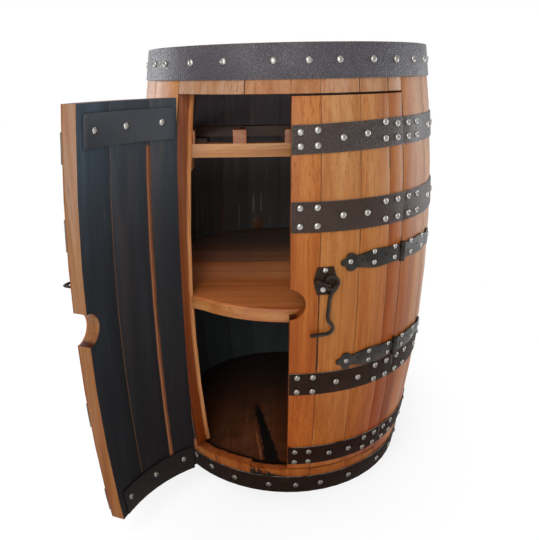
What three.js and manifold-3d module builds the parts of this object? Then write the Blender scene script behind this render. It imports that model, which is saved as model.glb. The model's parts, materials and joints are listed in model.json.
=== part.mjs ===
// Barrel bar cabinet: an oak barrel stood on end, its front cut out as two hinged doors.
// Millimetres and degrees, +Z up. The barrel's axis is the Z axis until the last step, and the
// doors face -Y. An azimuth counts from the front, positive towards the right-hand door.
import * as THREE from 'three';
import Module from 'manifold-3d';

const wasm = await Module();
wasm.setup();

// Barrel shell
const HEIGHT = 900;
const MIDDLE = HEIGHT / 2;
const BILGE_RADIUS = 319;
const BULGE = 40;
const END_RADIUS = BILGE_RADIUS - BULGE;
const FULL_TURN_DEG = 360;
const STAVE_THICKNESS = 26;
const SEAM_GAP = 0.4;
const FIT_GAP = 0.3;
const EASING = 1.5;
const PROFILE_LEVELS = 8;
const FACET_DEG = 7.5;
const SEAM_GROOVE = 1.2;
const SEAM_GROOVE_DEG = 0.35;

// Chime: the staves' ends past the heads, and the groove that holds each head
const CHIME_BEVEL = 7;
const CHIME_BEVEL_RISE = 12;
const CROZE_DEPTH = 5;
const HEAD_EDGE = 9;
const HEAD_BEVEL = 24;
const TOP_HEAD_DROP = 28;
const TOP_HEAD = { top: HEIGHT - TOP_HEAD_DROP, thickness: 20 };
const BOTTOM_HEAD = { top: 50, thickness: 22 };

// Door opening and the stave seams across it
const OPENING_HALF_DEG = 42.4;
const HEADER_HEIGHT = 79.5;
const HEADER_BOTTOM = HEIGHT - HEADER_HEIGHT;
const DOOR_HEAD_GAP = 7.5;
const DOOR_TOP = HEADER_BOTTOM - DOOR_HEAD_GAP;
const SILL_TOP = 66;
const DOOR_FOOT_GAP = 4;
const DOOR_BOTTOM = SILL_TOP + DOOR_FOOT_GAP;
const SILL_STEPS = [0, 2.5, -1.5, 1, 0, 2, -1];
const DOOR_EDGE_GAP = 0.8;
const LEFT_STAVE_SHARES = [0.248, 0.389, 0.363];
const RIGHT_STAVE_SHARES = [0.229, 0.325, 0.285, 0.161];
const WALL_STAVE_COUNT = 16;
const WALL_STAVE_SHARES = [1, 0.86, 1.1, 0.94, 1.06, 0.9, 1.12, 0.98];

// Hoops, bottom and top edge of each: the end hoops and quarter hoops keep their distance from the
// barrel's ends, the bilge hoops theirs from its middle
const HOOP_THICKNESS = 2.4;
const HOOP_REVEAL = 0.5;
const TOP_HOOP_WIDTH = 56.5;
const BOTTOM_HOOP_WIDTH = 45.5;
const END_HOOPS = {
  top_hoop: [HEIGHT - HOOP_REVEAL - TOP_HOOP_WIDTH, HEIGHT - HOOP_REVEAL],
  bottom_hoop: [HOOP_REVEAL, HOOP_REVEAL + BOTTOM_HOOP_WIDTH],
};
const UPPER_QUARTER_DROPS = [171, 123];
const UPPER_BILGE_RISES = [140, 194];
const LOWER_BILGE_DROPS = [187.5, 139.2];
const BAND_HOOPS = {
  upper_quarter: UPPER_QUARTER_DROPS.map((drop) => HEIGHT - drop),
  upper_bilge: UPPER_BILGE_RISES.map((rise) => MIDDLE + rise),
  lower_bilge: LOWER_BILGE_DROPS.map((drop) => MIDDLE - drop),
  lower_quarter: [84, 130],
};
const HOOP_END_INSET = 1.2;
// The right door's upper hoop was nailed on aslant: how far its free end hangs down
const UPPER_QUARTER_SAG = 6;

// Doors in the rest pose, and their travel
const LEFT_DOOR_OPEN_DEG = 108;
const NOTCH_RADIUS = 30;
const NOTCH_RISE = 4.5;
const NOTCH_Z = MIDDLE + NOTCH_RISE;
const INNER_BAND_THICKNESS = 2.5;
const INNER_TOP_BAND_DROPS = [63, 11];
const INNER_BOTTOM_BAND_RISES = [2, 50];
const INNER_BANDS = {
  top: INNER_TOP_BAND_DROPS.map((drop) => DOOR_TOP - drop),
  bottom: INNER_BOTTOM_BAND_RISES.map((rise) => DOOR_BOTTOM + rise),
};
const INNER_BAND_INSET = 14;
const INNER_BAND_HINGE_INSET = 6;
const INNER_BAND_GAP = 0.9;

// Strap hinges
const HINGE_RISES = [-119.5, 81];
const HINGE_Z = HINGE_RISES.map((rise) => MIDDLE + rise);
const HINGE_PIN_RADIUS = 2.5;
const HINGE_BORE_GAP = 0.1;
const KNUCKLE_RADIUS = 5;
const KNUCKLE_SIDES = 12;
const KNUCKLE_RECESS = 0.8;
const KNUCKLE_LENGTH = 38;
const KNUCKLE_MIDDLE = 15;
const KNUCKLE_GAP = 0.5;
const HINGE_AXIS_STANDOFF = 2;
const HINGE_AXIS_RADIUS = BILGE_RADIUS + HINGE_AXIS_STANDOFF;
const STRAP_THICKNESS = 2.8;
const STRAP_GAP = 0.7;
const STRAP_START = 7;
const STRAP_LENGTH = 143;
// Half-height of a strap at shares of its length, from the knuckle to the nub at its tip
const STRAP_HALF_HEIGHT = 17.5;
const STRAP_OUTLINE_SHARES = [
  [0, 0.86], [0.14, 0.88], [0.28, 0.94], [0.42, 1], [0.5, 0.98], [0.6, 0.86], [0.7, 0.7], [0.76, 0.62],
  [0.785, 0.74], [0.81, 0.9], [0.85, 0.97], [0.89, 0.92], [0.915, 0.72], [0.93, 0.42], [0.96, 0.34],
  [0.985, 0.28], [1, 0.14],
];

// Latch: a plate with a staple, the hook that hangs from it, and the catch on the other door
const LATCH_DEG = 11.6;
const LATCH_RISE = 50;
const LATCH_Z = MIDDLE + LATCH_RISE;
const PLATE_THICKNESS = 2.2;
const PLATE_HALF_WIDTH = 20.5;
const PLATE_HALF_HEIGHT = 26;
const PLATE_SIDE_SHARE = 0.55;
const STAPLE_ROD_RADIUS = 2.5;
const STAPLE_SPAN = 23.5;
const STAPLE_RISE = 9.4;
const STAPLE_CENTRE_OFFSET = [-6, -1];
const HOOK_ROD_RADIUS = 3.3;
const HOOK_EYE_RADIUS = 12;
const HOOK_LIFT = 0.7;
const HOOK_PATH = [
  [9.5, -7.6], [6, -12.5], [-1, -19.5], [-4.5, -28], [-6.5, -42], [-9.5, -60], [-8, -71], [-1.5, -79.5],
  [1.2, -87.5], [-3.5, -94.5], [-11, -97.5], [-25, -98.2], [-41, -98.8],
];
const CATCH_SPAN = 17;
const CATCH_HEIGHT = 25;
const CATCH_PLATE_HALF = [15, 9];

// Inside: stops behind the doors, the shelf and the bottle rack
const STOP_THICKNESS = 8.5;
const STOP_OVERLAP_DEG = 0.85;
const STOP_WIDTH_DEG = 5.2;
const STOP_GAP = 1;
const STOP_ROOM = 0.5;
const SHELF_DROP = 19;
const SHELF_TOP = MIDDLE - SHELF_DROP;
const SHELF_THICKNESS = 28;
const SHELF_DOOR_GAP = 7;
const SHELF_WALL_GAP = 0.4;
const SHELF_EASING = 3;
const RACK_DROP = 170;
const RACK_RAIL = { height: 25, depth: 24, top: HEIGHT - RACK_DROP };
const RACK_FRONT_SETBACK = 119;
const RACK_FRONT_Y = RACK_FRONT_SETBACK - BILGE_RADIUS;
const RACK_BACK_SETBACK = 169;
const RACK_BACK_Y = BILGE_RADIUS - RACK_BACK_SETBACK;
const BLOCK_SIZE = 25;
const BLOCK_PITCH = 96;
const BLOCK_MIDDLE_X = 6.5;
const BLOCK_END_ROOM = 8;
const RACK_EMBED = 1;
const STRETCHER = { width: 12, height: 20, rise: 2.5 };
const CLEAT = { width: 14, drop: 25, depth: 60 };

const RAD = Math.PI / 180;
const group = new THREE.Group();
group.name = 'barrel_bar_cabinet';

// Colours of the plain materials
const PAINT = {
  oak: new THREE.MeshStandardMaterial({ name: 'oak', color: 0xb87333, roughness: 0.6 }),
  oak_light: new THREE.MeshStandardMaterial({ name: 'oak_light', color: 0xc99a5b, roughness: 0.6 }),
  hoop_steel: new THREE.MeshStandardMaterial({ name: 'hoop_steel', color: 0x3a302c, roughness: 0.5, metalness: 0.7 }),
  black_iron: new THREE.MeshStandardMaterial({ name: 'black_iron', color: 0x1c1b1b, roughness: 0.5, metalness: 0.6 }),
};


// The bulge is a parabola, followed straight from level to level so that every piece shares its facets
const LEVEL_RISE = HEIGHT / PROFILE_LEVELS;
const bulge = (z) => BILGE_RADIUS - (BILGE_RADIUS - END_RADIUS) * (2 * z / HEIGHT - 1) ** 2;
function outerRadius(z) {
  const below = Math.min(Math.max(Math.floor(z / LEVEL_RISE), 0), PROFILE_LEVELS - 1);
  const t = z / LEVEL_RISE - below;
  return bulge(below * LEVEL_RISE) * (1 - t) + bulge((below + 1) * LEVEL_RISE) * t;
}
const innerRadius = (z) => outerRadius(z) - STAVE_THICKNESS;
const polar = (azimuth, r, z) => [r * Math.sin(azimuth * RAD), -r * Math.cos(azimuth * RAD), z];

// A closed triangle mesh whose equal corners are shared
class Solid {
  constructor() {
    this.points = [];
    this.lookup = new Map();
    this.triangles = [];
  }
  corner(p) {
    const key = p.map((value) => Math.round(value * 1e5)).join(',');
    if (!this.lookup.has(key)) {
      this.lookup.set(key, this.points.length);
      this.points.push(p);
    }
    return this.lookup.get(key);
  }
  triangle(a, b, c) {
    if (a !== b && b !== c && c !== a) this.triangles.push(a, b, c);
  }
  quad(a, b, c, d) {
    this.triangle(a, b, c);
    this.triangle(a, c, d);
  }
  toManifold() {
    const mesh = new wasm.Mesh({
      numProp: 3,
      vertProperties: new Float32Array(this.points.flat()),
      triVerts: new Uint32Array(this.triangles),
    });
    mesh.merge();
    return new wasm.Manifold(mesh);
  }
}

// Sweeps a counter-clockwise (radius, height) profile through the azimuths; profileAt may vary it
function sweep(profileAt, azimuths, { endGap = 0, endGaps = [endGap, endGap], ring = false } = {}) {
  const solid = new Solid();
  const profiles = azimuths.map((azimuth) => profileAt(azimuth));
  const rows = azimuths.map((azimuth, j) => profiles[j].map(([r, z]) => {
    const side = j === 0 ? 1 : j === azimuths.length - 1 ? -1 : 0;
    const gap = j === 0 ? endGaps[0] : endGaps[1];
    const shift = ring || side === 0 ? 0 : side * Math.asin(gap / r) / RAD;
    return solid.corner(polar(azimuth + shift, r, z));
  }));
  const spans = ring ? rows.length : rows.length - 1;
  for (let j = 0; j < spans; j += 1) {
    const here = rows[j];
    const next = rows[(j + 1) % rows.length];
    for (let i = 0; i < here.length; i += 1) {
      const up = (i + 1) % here.length;
      solid.quad(here[i], next[i], next[up], here[up]);
    }
  }
  if (!ring) {
    for (const [row, profile, flip] of [[rows[0], profiles[0], false], [rows.at(-1), profiles.at(-1), true]]) {
      const contour = profile.map(([r, z]) => new THREE.Vector2(r, z));
      for (const [a, b, c] of THREE.ShapeUtils.triangulateShape(contour, [])) {
        if (flip) solid.triangle(row[a], row[c], row[b]);
        else solid.triangle(row[a], row[b], row[c]);
      }
    }
  }
  return solid.toManifold();
}

// The heights between two ends at which the barrel's facets change slope
function levels(low, high) {
  const inside = Array.from({ length: PROFILE_LEVELS - 1 }, (_, i) => (i + 1) * LEVEL_RISE);
  return [low, ...inside.filter((z) => z > low + EASING && z < high - EASING), high];
}

// Splits a span of azimuth into facets
function facets(from, to) {
  const count = Math.max(1, Math.ceil((to - from) / FACET_DEG));
  return Array.from({ length: count + 1 }, (_, i) => from + ((to - from) * i) / count);
}

// Azimuths of the seams that divide a span by shares
function seams(from, to, shares) {
  const total = shares.reduce((sum, share) => sum + share, 0);
  const marks = [from];
  for (const share of shares) marks.push(marks.at(-1) + ((to - from) * share) / total);
  return marks;
}

const leftSeams = seams(-OPENING_HALF_DEG, 0, LEFT_STAVE_SHARES);
const rightSeams = seams(0, OPENING_HALF_DEG, RIGHT_STAVE_SHARES);
const wallShares = Array.from({ length: WALL_STAVE_COUNT }, (_, i) => WALL_STAVE_SHARES[i % WALL_STAVE_SHARES.length]);
const wallSeams = seams(OPENING_HALF_DEG, FULL_TURN_DEG - OPENING_HALF_DEG, wallShares);
const gridOf = (marks) => marks.slice(1).flatMap((mark, i) => facets(marks[i], mark).slice(i ? 1 : 0));
const wallGrid = gridOf(wallSeams);
const leftGrid = gridOf(leftSeams);
const rightGrid = gridOf(rightSeams);
const openingSeams = [...leftSeams, ...rightSeams.slice(1)];
const openingGrid = [...leftGrid, ...rightGrid.slice(1)];
const ringGrid = [...openingGrid, ...wallGrid.slice(1, -1)];

// Stave outline between two heights, with the chime bevel and the croze at the barrel's ends
function staveProfile(low, high) {
  const outer = levels(low, high).map((z) => [outerRadius(z), z]);
  const inner = levels(low, high).map((z) => [innerRadius(z), z]).reverse();
  const profile = [...outer];
  if (high === HEIGHT) {
    const mid = TOP_HEAD.top - TOP_HEAD.thickness / 2;
    profile.push([innerRadius(high) + CHIME_BEVEL, high], [innerRadius(high - CHIME_BEVEL_RISE), high - CHIME_BEVEL_RISE]);
    profile.push(...croze(mid));
    inner.shift();
  }
  const floor = low === 0 ? inner.slice(0, -1) : inner;
  profile.push(...floor);
  if (low === 0) {
    profile.push(...croze(BOTTOM_HEAD.top - BOTTOM_HEAD.thickness / 2));
    profile.push([innerRadius(CHIME_BEVEL_RISE), CHIME_BEVEL_RISE], [innerRadius(low) + CHIME_BEVEL, low]);
  }
  return profile;
}

// The groove that takes a head's edge, from its upper lip down
function croze(mid) {
  const half = HEAD_EDGE / 2 + FIT_GAP;
  const lip = innerRadius(mid);
  return [[lip, mid + half], [lip + CROZE_DEPTH, mid + half], [lip + CROZE_DEPTH, mid - half], [lip, mid - half]];
}

// A head: a disc bevelled down to the edge that sits in the croze
function headProfile({ top, thickness }) {
  const mid = top - thickness / 2;
  const lip = innerRadius(mid) - EASING;
  const rim = innerRadius(mid) + CROZE_DEPTH - FIT_GAP;
  return [
    [0, top - thickness], [rim - HEAD_BEVEL, top - thickness], [lip, mid - HEAD_EDGE / 2], [rim, mid - HEAD_EDGE / 2],
    [rim, mid + HEAD_EDGE / 2], [lip, mid + HEAD_EDGE / 2], [rim - HEAD_BEVEL, top], [0, top],
  ];
}

// A hoop lies on the staves and flares with them
function hoopProfile(low, high) {
  const seat = (z) => outerRadius(z) + FIT_GAP;
  const back = levels(low, high).map((z) => [seat(z), z]);
  const front = levels(low, high).map((z) => [seat(z) + HOOP_THICKNESS, z]);
  return [...front, ...back.reverse()];
}

// A metal band along the inside of a door
function innerBandProfile([low, high]) {
  const heights = levels(low, high);
  const seat = heights.map((z) => [innerRadius(z) - INNER_BAND_GAP, z]);
  const face = heights.map((z) => [innerRadius(z) - INNER_BAND_GAP - INNER_BAND_THICKNESS, z]);
  return [...seat, ...face.reverse()];
}

// A plate bent round the barrel: stations are [arc length, lowest, highest], measured from (azimuth, z)
function bentPlate(azimuth, z, stations, thickness, seat) {
  const solid = new Solid();
  const rows = stations.map(([u, low, high]) => {
    const at = azimuth + u / seat / RAD;
    const foot = (v) => seat - (outerRadius(z) - outerRadius(z + v));
    return [
      solid.corner(polar(at, foot(low), z + low)), solid.corner(polar(at, foot(low) + thickness, z + low)),
      solid.corner(polar(at, foot(high) + thickness, z + high)), solid.corner(polar(at, foot(high), z + high)),
    ];
  });
  for (let j = 0; j + 1 < rows.length; j += 1) {
    for (let i = 0; i < 4; i += 1) {
      const up = (i + 1) % 4;
      solid.quad(rows[j][i], rows[j + 1][i], rows[j + 1][up], rows[j][up]);
    }
  }
  const [first, last] = [rows[0], rows.at(-1)];
  solid.quad(first[0], first[1], first[2], first[3]);
  solid.quad(last[0], last[3], last[2], last[1]);
  return solid.toManifold();
}

// A round bar along a line of points, closed into a ring or capped at both ends
function bar(line, radius, { sides = 10, ring = false } = {}) {
  const solid = new Solid();
  const count = line.length;
  const tangent = (i) => {
    const before = line[ring ? (i - 1 + count) % count : Math.max(i - 1, 0)];
    const after = line[ring ? (i + 1) % count : Math.min(i + 1, count - 1)];
    return after.clone().sub(before).normalize();
  };
  let side = new THREE.Vector3(0, 0, 1);
  if (Math.abs(tangent(0).dot(side)) > 0.9) side = new THREE.Vector3(1, 0, 0);
  const rows = line.map((point, i) => {
    const along = tangent(i);
    side = side.clone().addScaledVector(along, -side.dot(along)).normalize();
    const other = along.clone().cross(side);
    return Array.from({ length: sides }, (_, k) => {
      const turn = (2 * Math.PI * k) / sides;
      const p = point.clone().addScaledVector(side, radius * Math.cos(turn));
      return solid.corner(p.addScaledVector(other, radius * Math.sin(turn)).toArray());
    });
  });
  const spans = ring ? count : count - 1;
  for (let j = 0; j < spans; j += 1) {
    const next = rows[(j + 1) % count];
    for (let k = 0; k < sides; k += 1) {
      const on = (k + 1) % sides;
      solid.quad(rows[j][k], rows[j][on], next[on], next[k]);
    }
  }
  if (!ring) {
    for (let k = 1; k + 1 < sides; k += 1) {
      solid.triangle(rows[0][0], rows[0][k + 1], rows[0][k]);
      solid.triangle(rows[count - 1][0], rows[count - 1][k], rows[count - 1][k + 1]);
    }
  }
  return solid.toManifold();
}

// An upright round bar, and a box between two corners
function upright([x, y], low, high, radius, sides = 20) {
  return bar([new THREE.Vector3(x, y, low), new THREE.Vector3(x, y, high)], radius, { sides });
}
function box([x0, y0, z0], [x1, y1, z1]) {
  const solid = new Solid();
  const at = (x, y, z) => solid.corner([x, y, z]);
  const floor = [at(x0, y0, z0), at(x1, y0, z0), at(x1, y1, z0), at(x0, y1, z0)];
  const lid = [at(x0, y0, z1), at(x1, y0, z1), at(x1, y1, z1), at(x0, y1, z1)];
  solid.quad(floor[0], floor[3], floor[2], floor[1]);
  solid.quad(lid[0], lid[1], lid[2], lid[3]);
  for (let i = 0; i < 4; i += 1) {
    const on = (i + 1) % 4;
    solid.quad(floor[i], floor[on], lid[on], lid[i]);
  }
  return solid.toManifold();
}

// Adds a solid to the model, turned about an upright axis when it hangs open
function add(name, manifold, paint, pose = null) {
  const { vertProperties, triVerts, numProp } = manifold.getMesh();
  const positions = [];
  for (const index of triVerts) {
    const at = index * numProp;
    positions.push(vertProperties[at], vertProperties[at + 1], vertProperties[at + 2]);
  }
  const geometry = new THREE.BufferGeometry();
  geometry.setAttribute('position', new THREE.Float32BufferAttribute(positions, 3));
  if (pose) {
    geometry.translate(-pose.axis[0], -pose.axis[1], 0);
    geometry.rotateZ(pose.turn * RAD);
    geometry.translate(pose.axis[0], pose.axis[1], 0);
  }
  geometry.computeVertexNormals();
  const mesh = new THREE.Mesh(geometry, PAINT[paint]);
  mesh.name = name;
  group.add(mesh);
}

// The two doors: side is -1 for the left, +1 for the right
const doors = [
  { name: 'left', side: -1, seams: leftSeams, grid: leftGrid, turn: -LEFT_DOOR_OPEN_DEG },
  { name: 'right', side: 1, seams: rightSeams, grid: rightGrid, turn: 0 },
];
for (const door of doors) {
  door.hingeAzimuth = door.side * OPENING_HALF_DEG;
  door.axis = polar(door.hingeAzimuth, HINGE_AXIS_RADIUS, 0).slice(0, 2);
  door.pose = { axis: door.axis, turn: door.turn };
  // Room for the hinge knuckles in the edges of the staves on both sides of the joint
  door.recess = HINGE_Z.map((z) => {
    const half = KNUCKLE_LENGTH / 2 + KNUCKLE_RECESS;
    return upright(door.axis, z - half, z + half, KNUCKLE_RADIUS + KNUCKLE_RECESS);
  });
}
const finger = bar(
  [new THREE.Vector3(0, -BILGE_RADIUS - STAVE_THICKNESS, NOTCH_Z), new THREE.Vector3(0, 0, NOTCH_Z)],
  NOTCH_RADIUS, { sides: 32 },
);
const cutAll = (solid, tools) => tools.reduce((left, tool) => left.subtract(tool), solid);

// Fixed wall staves
wallSeams.slice(1).forEach((seam, i) => {
  const stave = sweep(() => staveProfile(0, HEIGHT), facets(wallSeams[i], seam), { endGap: SEAM_GAP / 2 });
  const tools = i === 0 ? doors[1].recess : i === WALL_STAVE_COUNT - 1 ? doors[0].recess : [];
  add(`wall_stave_${String(i + 1).padStart(2, '0')}`, cutAll(stave, tools), 'oak');
});

// Stave ends left above and below the doors, grooved at each seam
const grooves = openingSeams.slice(1, -1).flatMap((seam) => [seam - SEAM_GROOVE_DEG, seam + SEAM_GROOVE_DEG]);
const stubGrid = [...openingGrid, ...grooves].sort((a, b) => a - b);
function stubProfile(azimuth, low, high) {
  const onSeam = openingSeams.slice(1, -1).some((seam) => Math.abs(seam - azimuth) < SEAM_GROOVE_DEG / 2);
  const depth = onSeam ? SEAM_GROOVE : 0;
  const outline = staveProfile(low, high);
  const outerCount = levels(low, high).length;
  return outline.map(([r, z], i) => [i < outerCount ? r - depth : r, z]);
}
function sillTop(azimuth) {
  const stub = openingSeams.slice(1).findIndex((seam) => azimuth < seam);
  return SILL_TOP + SILL_STEPS[stub < 0 ? SILL_STEPS.length - 1 : stub];
}
add('header_stave_ends', sweep((azimuth) => stubProfile(azimuth, HEADER_BOTTOM, HEIGHT), stubGrid, { endGap: SEAM_GAP / 2 }), 'oak');
add('sill_stave_ends', sweep((azimuth) => stubProfile(azimuth, 0, sillTop(azimuth)), stubGrid, { endGap: SEAM_GAP / 2 }), 'oak');

// Heads
add('top_head', sweep(() => headProfile(TOP_HEAD), ringGrid, { ring: true }), 'oak');
add('bottom_head', sweep(() => headProfile(BOTTOM_HEAD), ringGrid, { ring: true }), 'oak');

// Hoops round the whole barrel, then round the wall and across each door
for (const [name, [low, high]] of Object.entries(END_HOOPS)) {
  add(name, sweep(() => hoopProfile(low, high), ringGrid, { ring: true }), 'hoop_steel');
}
for (const [name, [low, high]] of Object.entries(BAND_HOOPS)) {
  add(`${name}_wall_hoop`, sweep(() => hoopProfile(low, high), wallGrid, { endGap: HOOP_END_INSET }), 'hoop_steel');
}

for (const door of doors) {
  // Door staves, with the finger notch in the free edge and room for the knuckles in the other
  door.seams.slice(1).forEach((seam, i) => {
    const isEdge = (at) => Math.abs(at) < FIT_GAP || Math.abs(Math.abs(at) - OPENING_HALF_DEG) < FIT_GAP;
    const span = facets(door.seams[i], seam);
    const trim = (at, inward) => at + (isEdge(at) ? inward * (DOOR_EDGE_GAP - SEAM_GAP / 2) / BILGE_RADIUS / RAD : 0);
    span[0] = trim(span[0], 1);
    span[span.length - 1] = trim(span.at(-1), -1);
    const stave = sweep(() => staveProfile(DOOR_BOTTOM, DOOR_TOP), span, { endGap: SEAM_GAP / 2 });
    add(`${door.name}_door_stave_${i + 1}`, cutAll(stave, [finger, ...door.recess]), 'oak', door.pose);
  });

  // Hoop lengths outside and the two bands inside
  for (const [name, [low, high]] of Object.entries(BAND_HOOPS)) {
    const sag = door.side > 0 && name === 'upper_quarter' ? UPPER_QUARTER_SAG : 0;
    const drop = (azimuth) => sag * (1 - Math.abs(azimuth) / OPENING_HALF_DEG);
    const profile = (azimuth) => hoopProfile(low - drop(azimuth), high - drop(azimuth));
    const hoop = sweep(profile, door.grid, { endGap: HOOP_END_INSET });
    add(`${door.name}_door_${name}_hoop`, hoop, 'hoop_steel', door.pose);
  }
  for (const [name, span] of Object.entries(INNER_BANDS)) {
    const insets = [INNER_BAND_HINGE_INSET, INNER_BAND_INSET];
    const endGaps = door.side < 0 ? insets : insets.reverse();
    const band = sweep(() => innerBandProfile(span), door.grid, { endGaps });
    add(`${door.name}_door_inner_${name}_band`, band, 'hoop_steel', door.pose);
  }

  // Strap hinges: the wall's leaf carries the pin, the door's leaf turns on it
  HINGE_Z.forEach((z, k) => {
    const [x, y] = door.axis;
    const place = k ? 'upper' : 'lower';
    const half = KNUCKLE_LENGTH / 2;
    const middle = KNUCKLE_MIDDLE / 2;
    const seat = outerRadius(z) + STRAP_GAP;
    const strap = (direction) => {
      const stations = STRAP_OUTLINE_SHARES.map(([along, tall]) => {
        const u = STRAP_START + (STRAP_LENGTH - STRAP_START) * along;
        return [direction * u, -STRAP_HALF_HEIGHT * tall, STRAP_HALF_HEIGHT * tall];
      });
      if (direction < 0) stations.reverse();
      return bentPlate(door.hingeAzimuth, z, stations, STRAP_THICKNESS, seat);
    };
    const neck = (direction, low, high) => {
      const ends = [0, direction * (STRAP_START + STRAP_THICKNESS)].sort((a, b) => a - b);
      return bentPlate(door.hingeAzimuth, z, ends.map((u) => [u, low, high]), STRAP_THICKNESS, seat);
    };
    const clear = (low, high) => upright([x, y], z + low, z + high, KNUCKLE_RADIUS + KNUCKLE_GAP);
    const inward = -door.side;
    const bore = upright([x, y], z - half - KNUCKLE_GAP, z + half + KNUCKLE_GAP, HINGE_PIN_RADIUS + HINGE_BORE_GAP, KNUCKLE_SIDES);
    const doorLeaf = strap(inward).add(neck(inward, -middle + KNUCKLE_GAP, middle - KNUCKLE_GAP))
      .add(upright([x, y], z - middle + KNUCKLE_GAP, z + middle - KNUCKLE_GAP, KNUCKLE_RADIUS, KNUCKLE_SIDES))
      .subtract(bore);
    const pin = upright([x, y], z - half, z + half, HINGE_PIN_RADIUS, KNUCKLE_SIDES);
    let wallLeaf = strap(-inward);
    for (const [low, high] of [[-half, -middle], [middle, half]]) {
      const neckSpan = low < 0 ? [-STRAP_HALF_HEIGHT * STRAP_OUTLINE_SHARES[0][1], high] : [low, STRAP_HALF_HEIGHT * STRAP_OUTLINE_SHARES[0][1]];
      wallLeaf = wallLeaf.add(neck(-inward, ...neckSpan)).add(upright([x, y], z + low, z + high, KNUCKLE_RADIUS, KNUCKLE_SIDES));
    }
    wallLeaf = wallLeaf.subtract(clear(-middle, middle)).add(pin);
    add(`${door.name}_${place}_hinge_wall_leaf`, wallLeaf, 'black_iron');
    add(`${door.name}_${place}_hinge_door_leaf`, doorLeaf, 'black_iron', door.pose);
  });
}

// A frame tangent to the barrel: right along the wall, up, and out of it
function tangentFrame(azimuth, z, lift) {
  const origin = new THREE.Vector3(...polar(azimuth, outerRadius(z) + lift, z));
  const out = new THREE.Vector3(...polar(azimuth, 1, 0));
  const right = new THREE.Vector3(...polar(azimuth + 90, 1, 0));
  return (u, v, w = 0) => origin.clone().addScaledVector(right, u).add(new THREE.Vector3(0, 0, v)).addScaledVector(out, w);
}

// Latch plate with its staple: two legs and a crown that the hook's eye can't pass
const plateSeat = outerRadius(LATCH_Z) + FIT_GAP;
const plateStations = [
  [-PLATE_HALF_WIDTH, PLATE_SIDE_SHARE], [-PLATE_HALF_WIDTH * 0.92, 0.75], [-PLATE_HALF_WIDTH * 0.72, 1],
  [0, 1], [PLATE_HALF_WIDTH * 0.72, 1], [PLATE_HALF_WIDTH * 0.92, 0.75], [PLATE_HALF_WIDTH, PLATE_SIDE_SHARE],
].map(([u, share]) => [u, -PLATE_HALF_HEIGHT * share, PLATE_HALF_HEIGHT * share]);
const latchPlate = bentPlate(LATCH_DEG, LATCH_Z, plateStations, PLATE_THICKNESS, plateSeat);
const latchFrame = tangentFrame(LATCH_DEG, LATCH_Z, FIT_GAP + PLATE_THICKNESS);
const [stapleU, stapleV] = STAPLE_CENTRE_OFFSET;
const pivotLeg = [stapleU + STAPLE_SPAN / 2, stapleV - STAPLE_RISE / 2];
const otherLeg = [stapleU - STAPLE_SPAN / 2, stapleV + STAPLE_RISE / 2];
const hookHeight = HOOK_LIFT + HOOK_ROD_RADIUS;
const crownHeight = hookHeight + HOOK_ROD_RADIUS + HOOK_LIFT + STAPLE_ROD_RADIUS;

// A staple's line from one foot to the other, its two corners rounded
function stapleLine(frame, footA, footB, foot, crown, bend) {
  const [a, b] = [new THREE.Vector2(...footA), new THREE.Vector2(...footB)];
  const along = b.clone().sub(a).normalize().multiplyScalar(bend);
  const soft = bend * (1 - Math.SQRT1_2);
  const steps = [
    [a, foot], [a, crown - bend], [a.clone().addScaledVector(along, soft / bend), crown - soft],
    [a.clone().add(along), crown], [b.clone().sub(along), crown],
    [b.clone().addScaledVector(along, -soft / bend), crown - soft], [b, crown - bend], [b, foot],
  ];
  return steps.map(([point, w]) => frame(point.x, point.y, w));
}
const STAPLE_BEND = 3;
const staple = bar(
  stapleLine(latchFrame, otherLeg, pivotLeg, -PLATE_THICKNESS / 2, crownHeight, STAPLE_BEND), STAPLE_ROD_RADIUS,
);
add('latch_plate_and_staple', latchPlate.add(staple), 'black_iron');

// Hook: an eye round the staple's right leg, an S-bent shank and a foot towards the left door
const hookFrame = (u, v) => latchFrame(pivotLeg[0] + u, pivotLeg[1] + v, hookHeight);
const HOOK_SIDES = 8;
const EYE_STEPS = 16;
const eye = bar(Array.from({ length: EYE_STEPS }, (_, i) => {
  const turn = (2 * Math.PI * i) / EYE_STEPS;
  return hookFrame(HOOK_EYE_RADIUS * Math.cos(turn), HOOK_EYE_RADIUS * Math.sin(turn));
}), HOOK_ROD_RADIUS, { sides: HOOK_SIDES, ring: true });
const SHANK_STEPS = 26;
const shankCurve = new THREE.CatmullRomCurve3(HOOK_PATH.map(([u, v]) => hookFrame(u, v)));
const shank = bar(shankCurve.getSpacedPoints(SHANK_STEPS), HOOK_ROD_RADIUS, { sides: HOOK_SIDES });
add('latch_hook', eye.add(shank), 'black_iron');

// Catch: the staple on the left door that the hook's foot slides up into when the hook lies level
const [footU, footV] = HOOK_PATH.at(-1);
const foot = latchFrame(pivotLeg[0] + footV, pivotLeg[1] - footU, hookHeight);
const catchLead = HOOK_ROD_RADIUS + STAPLE_ROD_RADIUS;
const catchZ = foot.z - 2 * catchLead;
const catchAzimuth = Math.atan2(foot.x, -foot.y) / RAD;
const catchSeat = outerRadius(catchZ) + FIT_GAP;
const catchPlate = bentPlate(
  catchAzimuth, catchZ,
  [-1, 0, 1].map((k) => [k * CATCH_PLATE_HALF[0], -CATCH_PLATE_HALF[1], CATCH_PLATE_HALF[1]]),
  PLATE_THICKNESS, catchSeat,
);
const catchFrame = tangentFrame(catchAzimuth, catchZ, FIT_GAP + PLATE_THICKNESS);
const catchStaple = bar(
  stapleLine(catchFrame, [-CATCH_SPAN / 2, 0], [CATCH_SPAN / 2, 0], -PLATE_THICKNESS / 2, CATCH_HEIGHT, STAPLE_BEND),
  STAPLE_ROD_RADIUS,
);
add('catch_plate_and_staple', catchPlate.add(catchStaple), 'black_iron', doors[0].pose);

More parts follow.
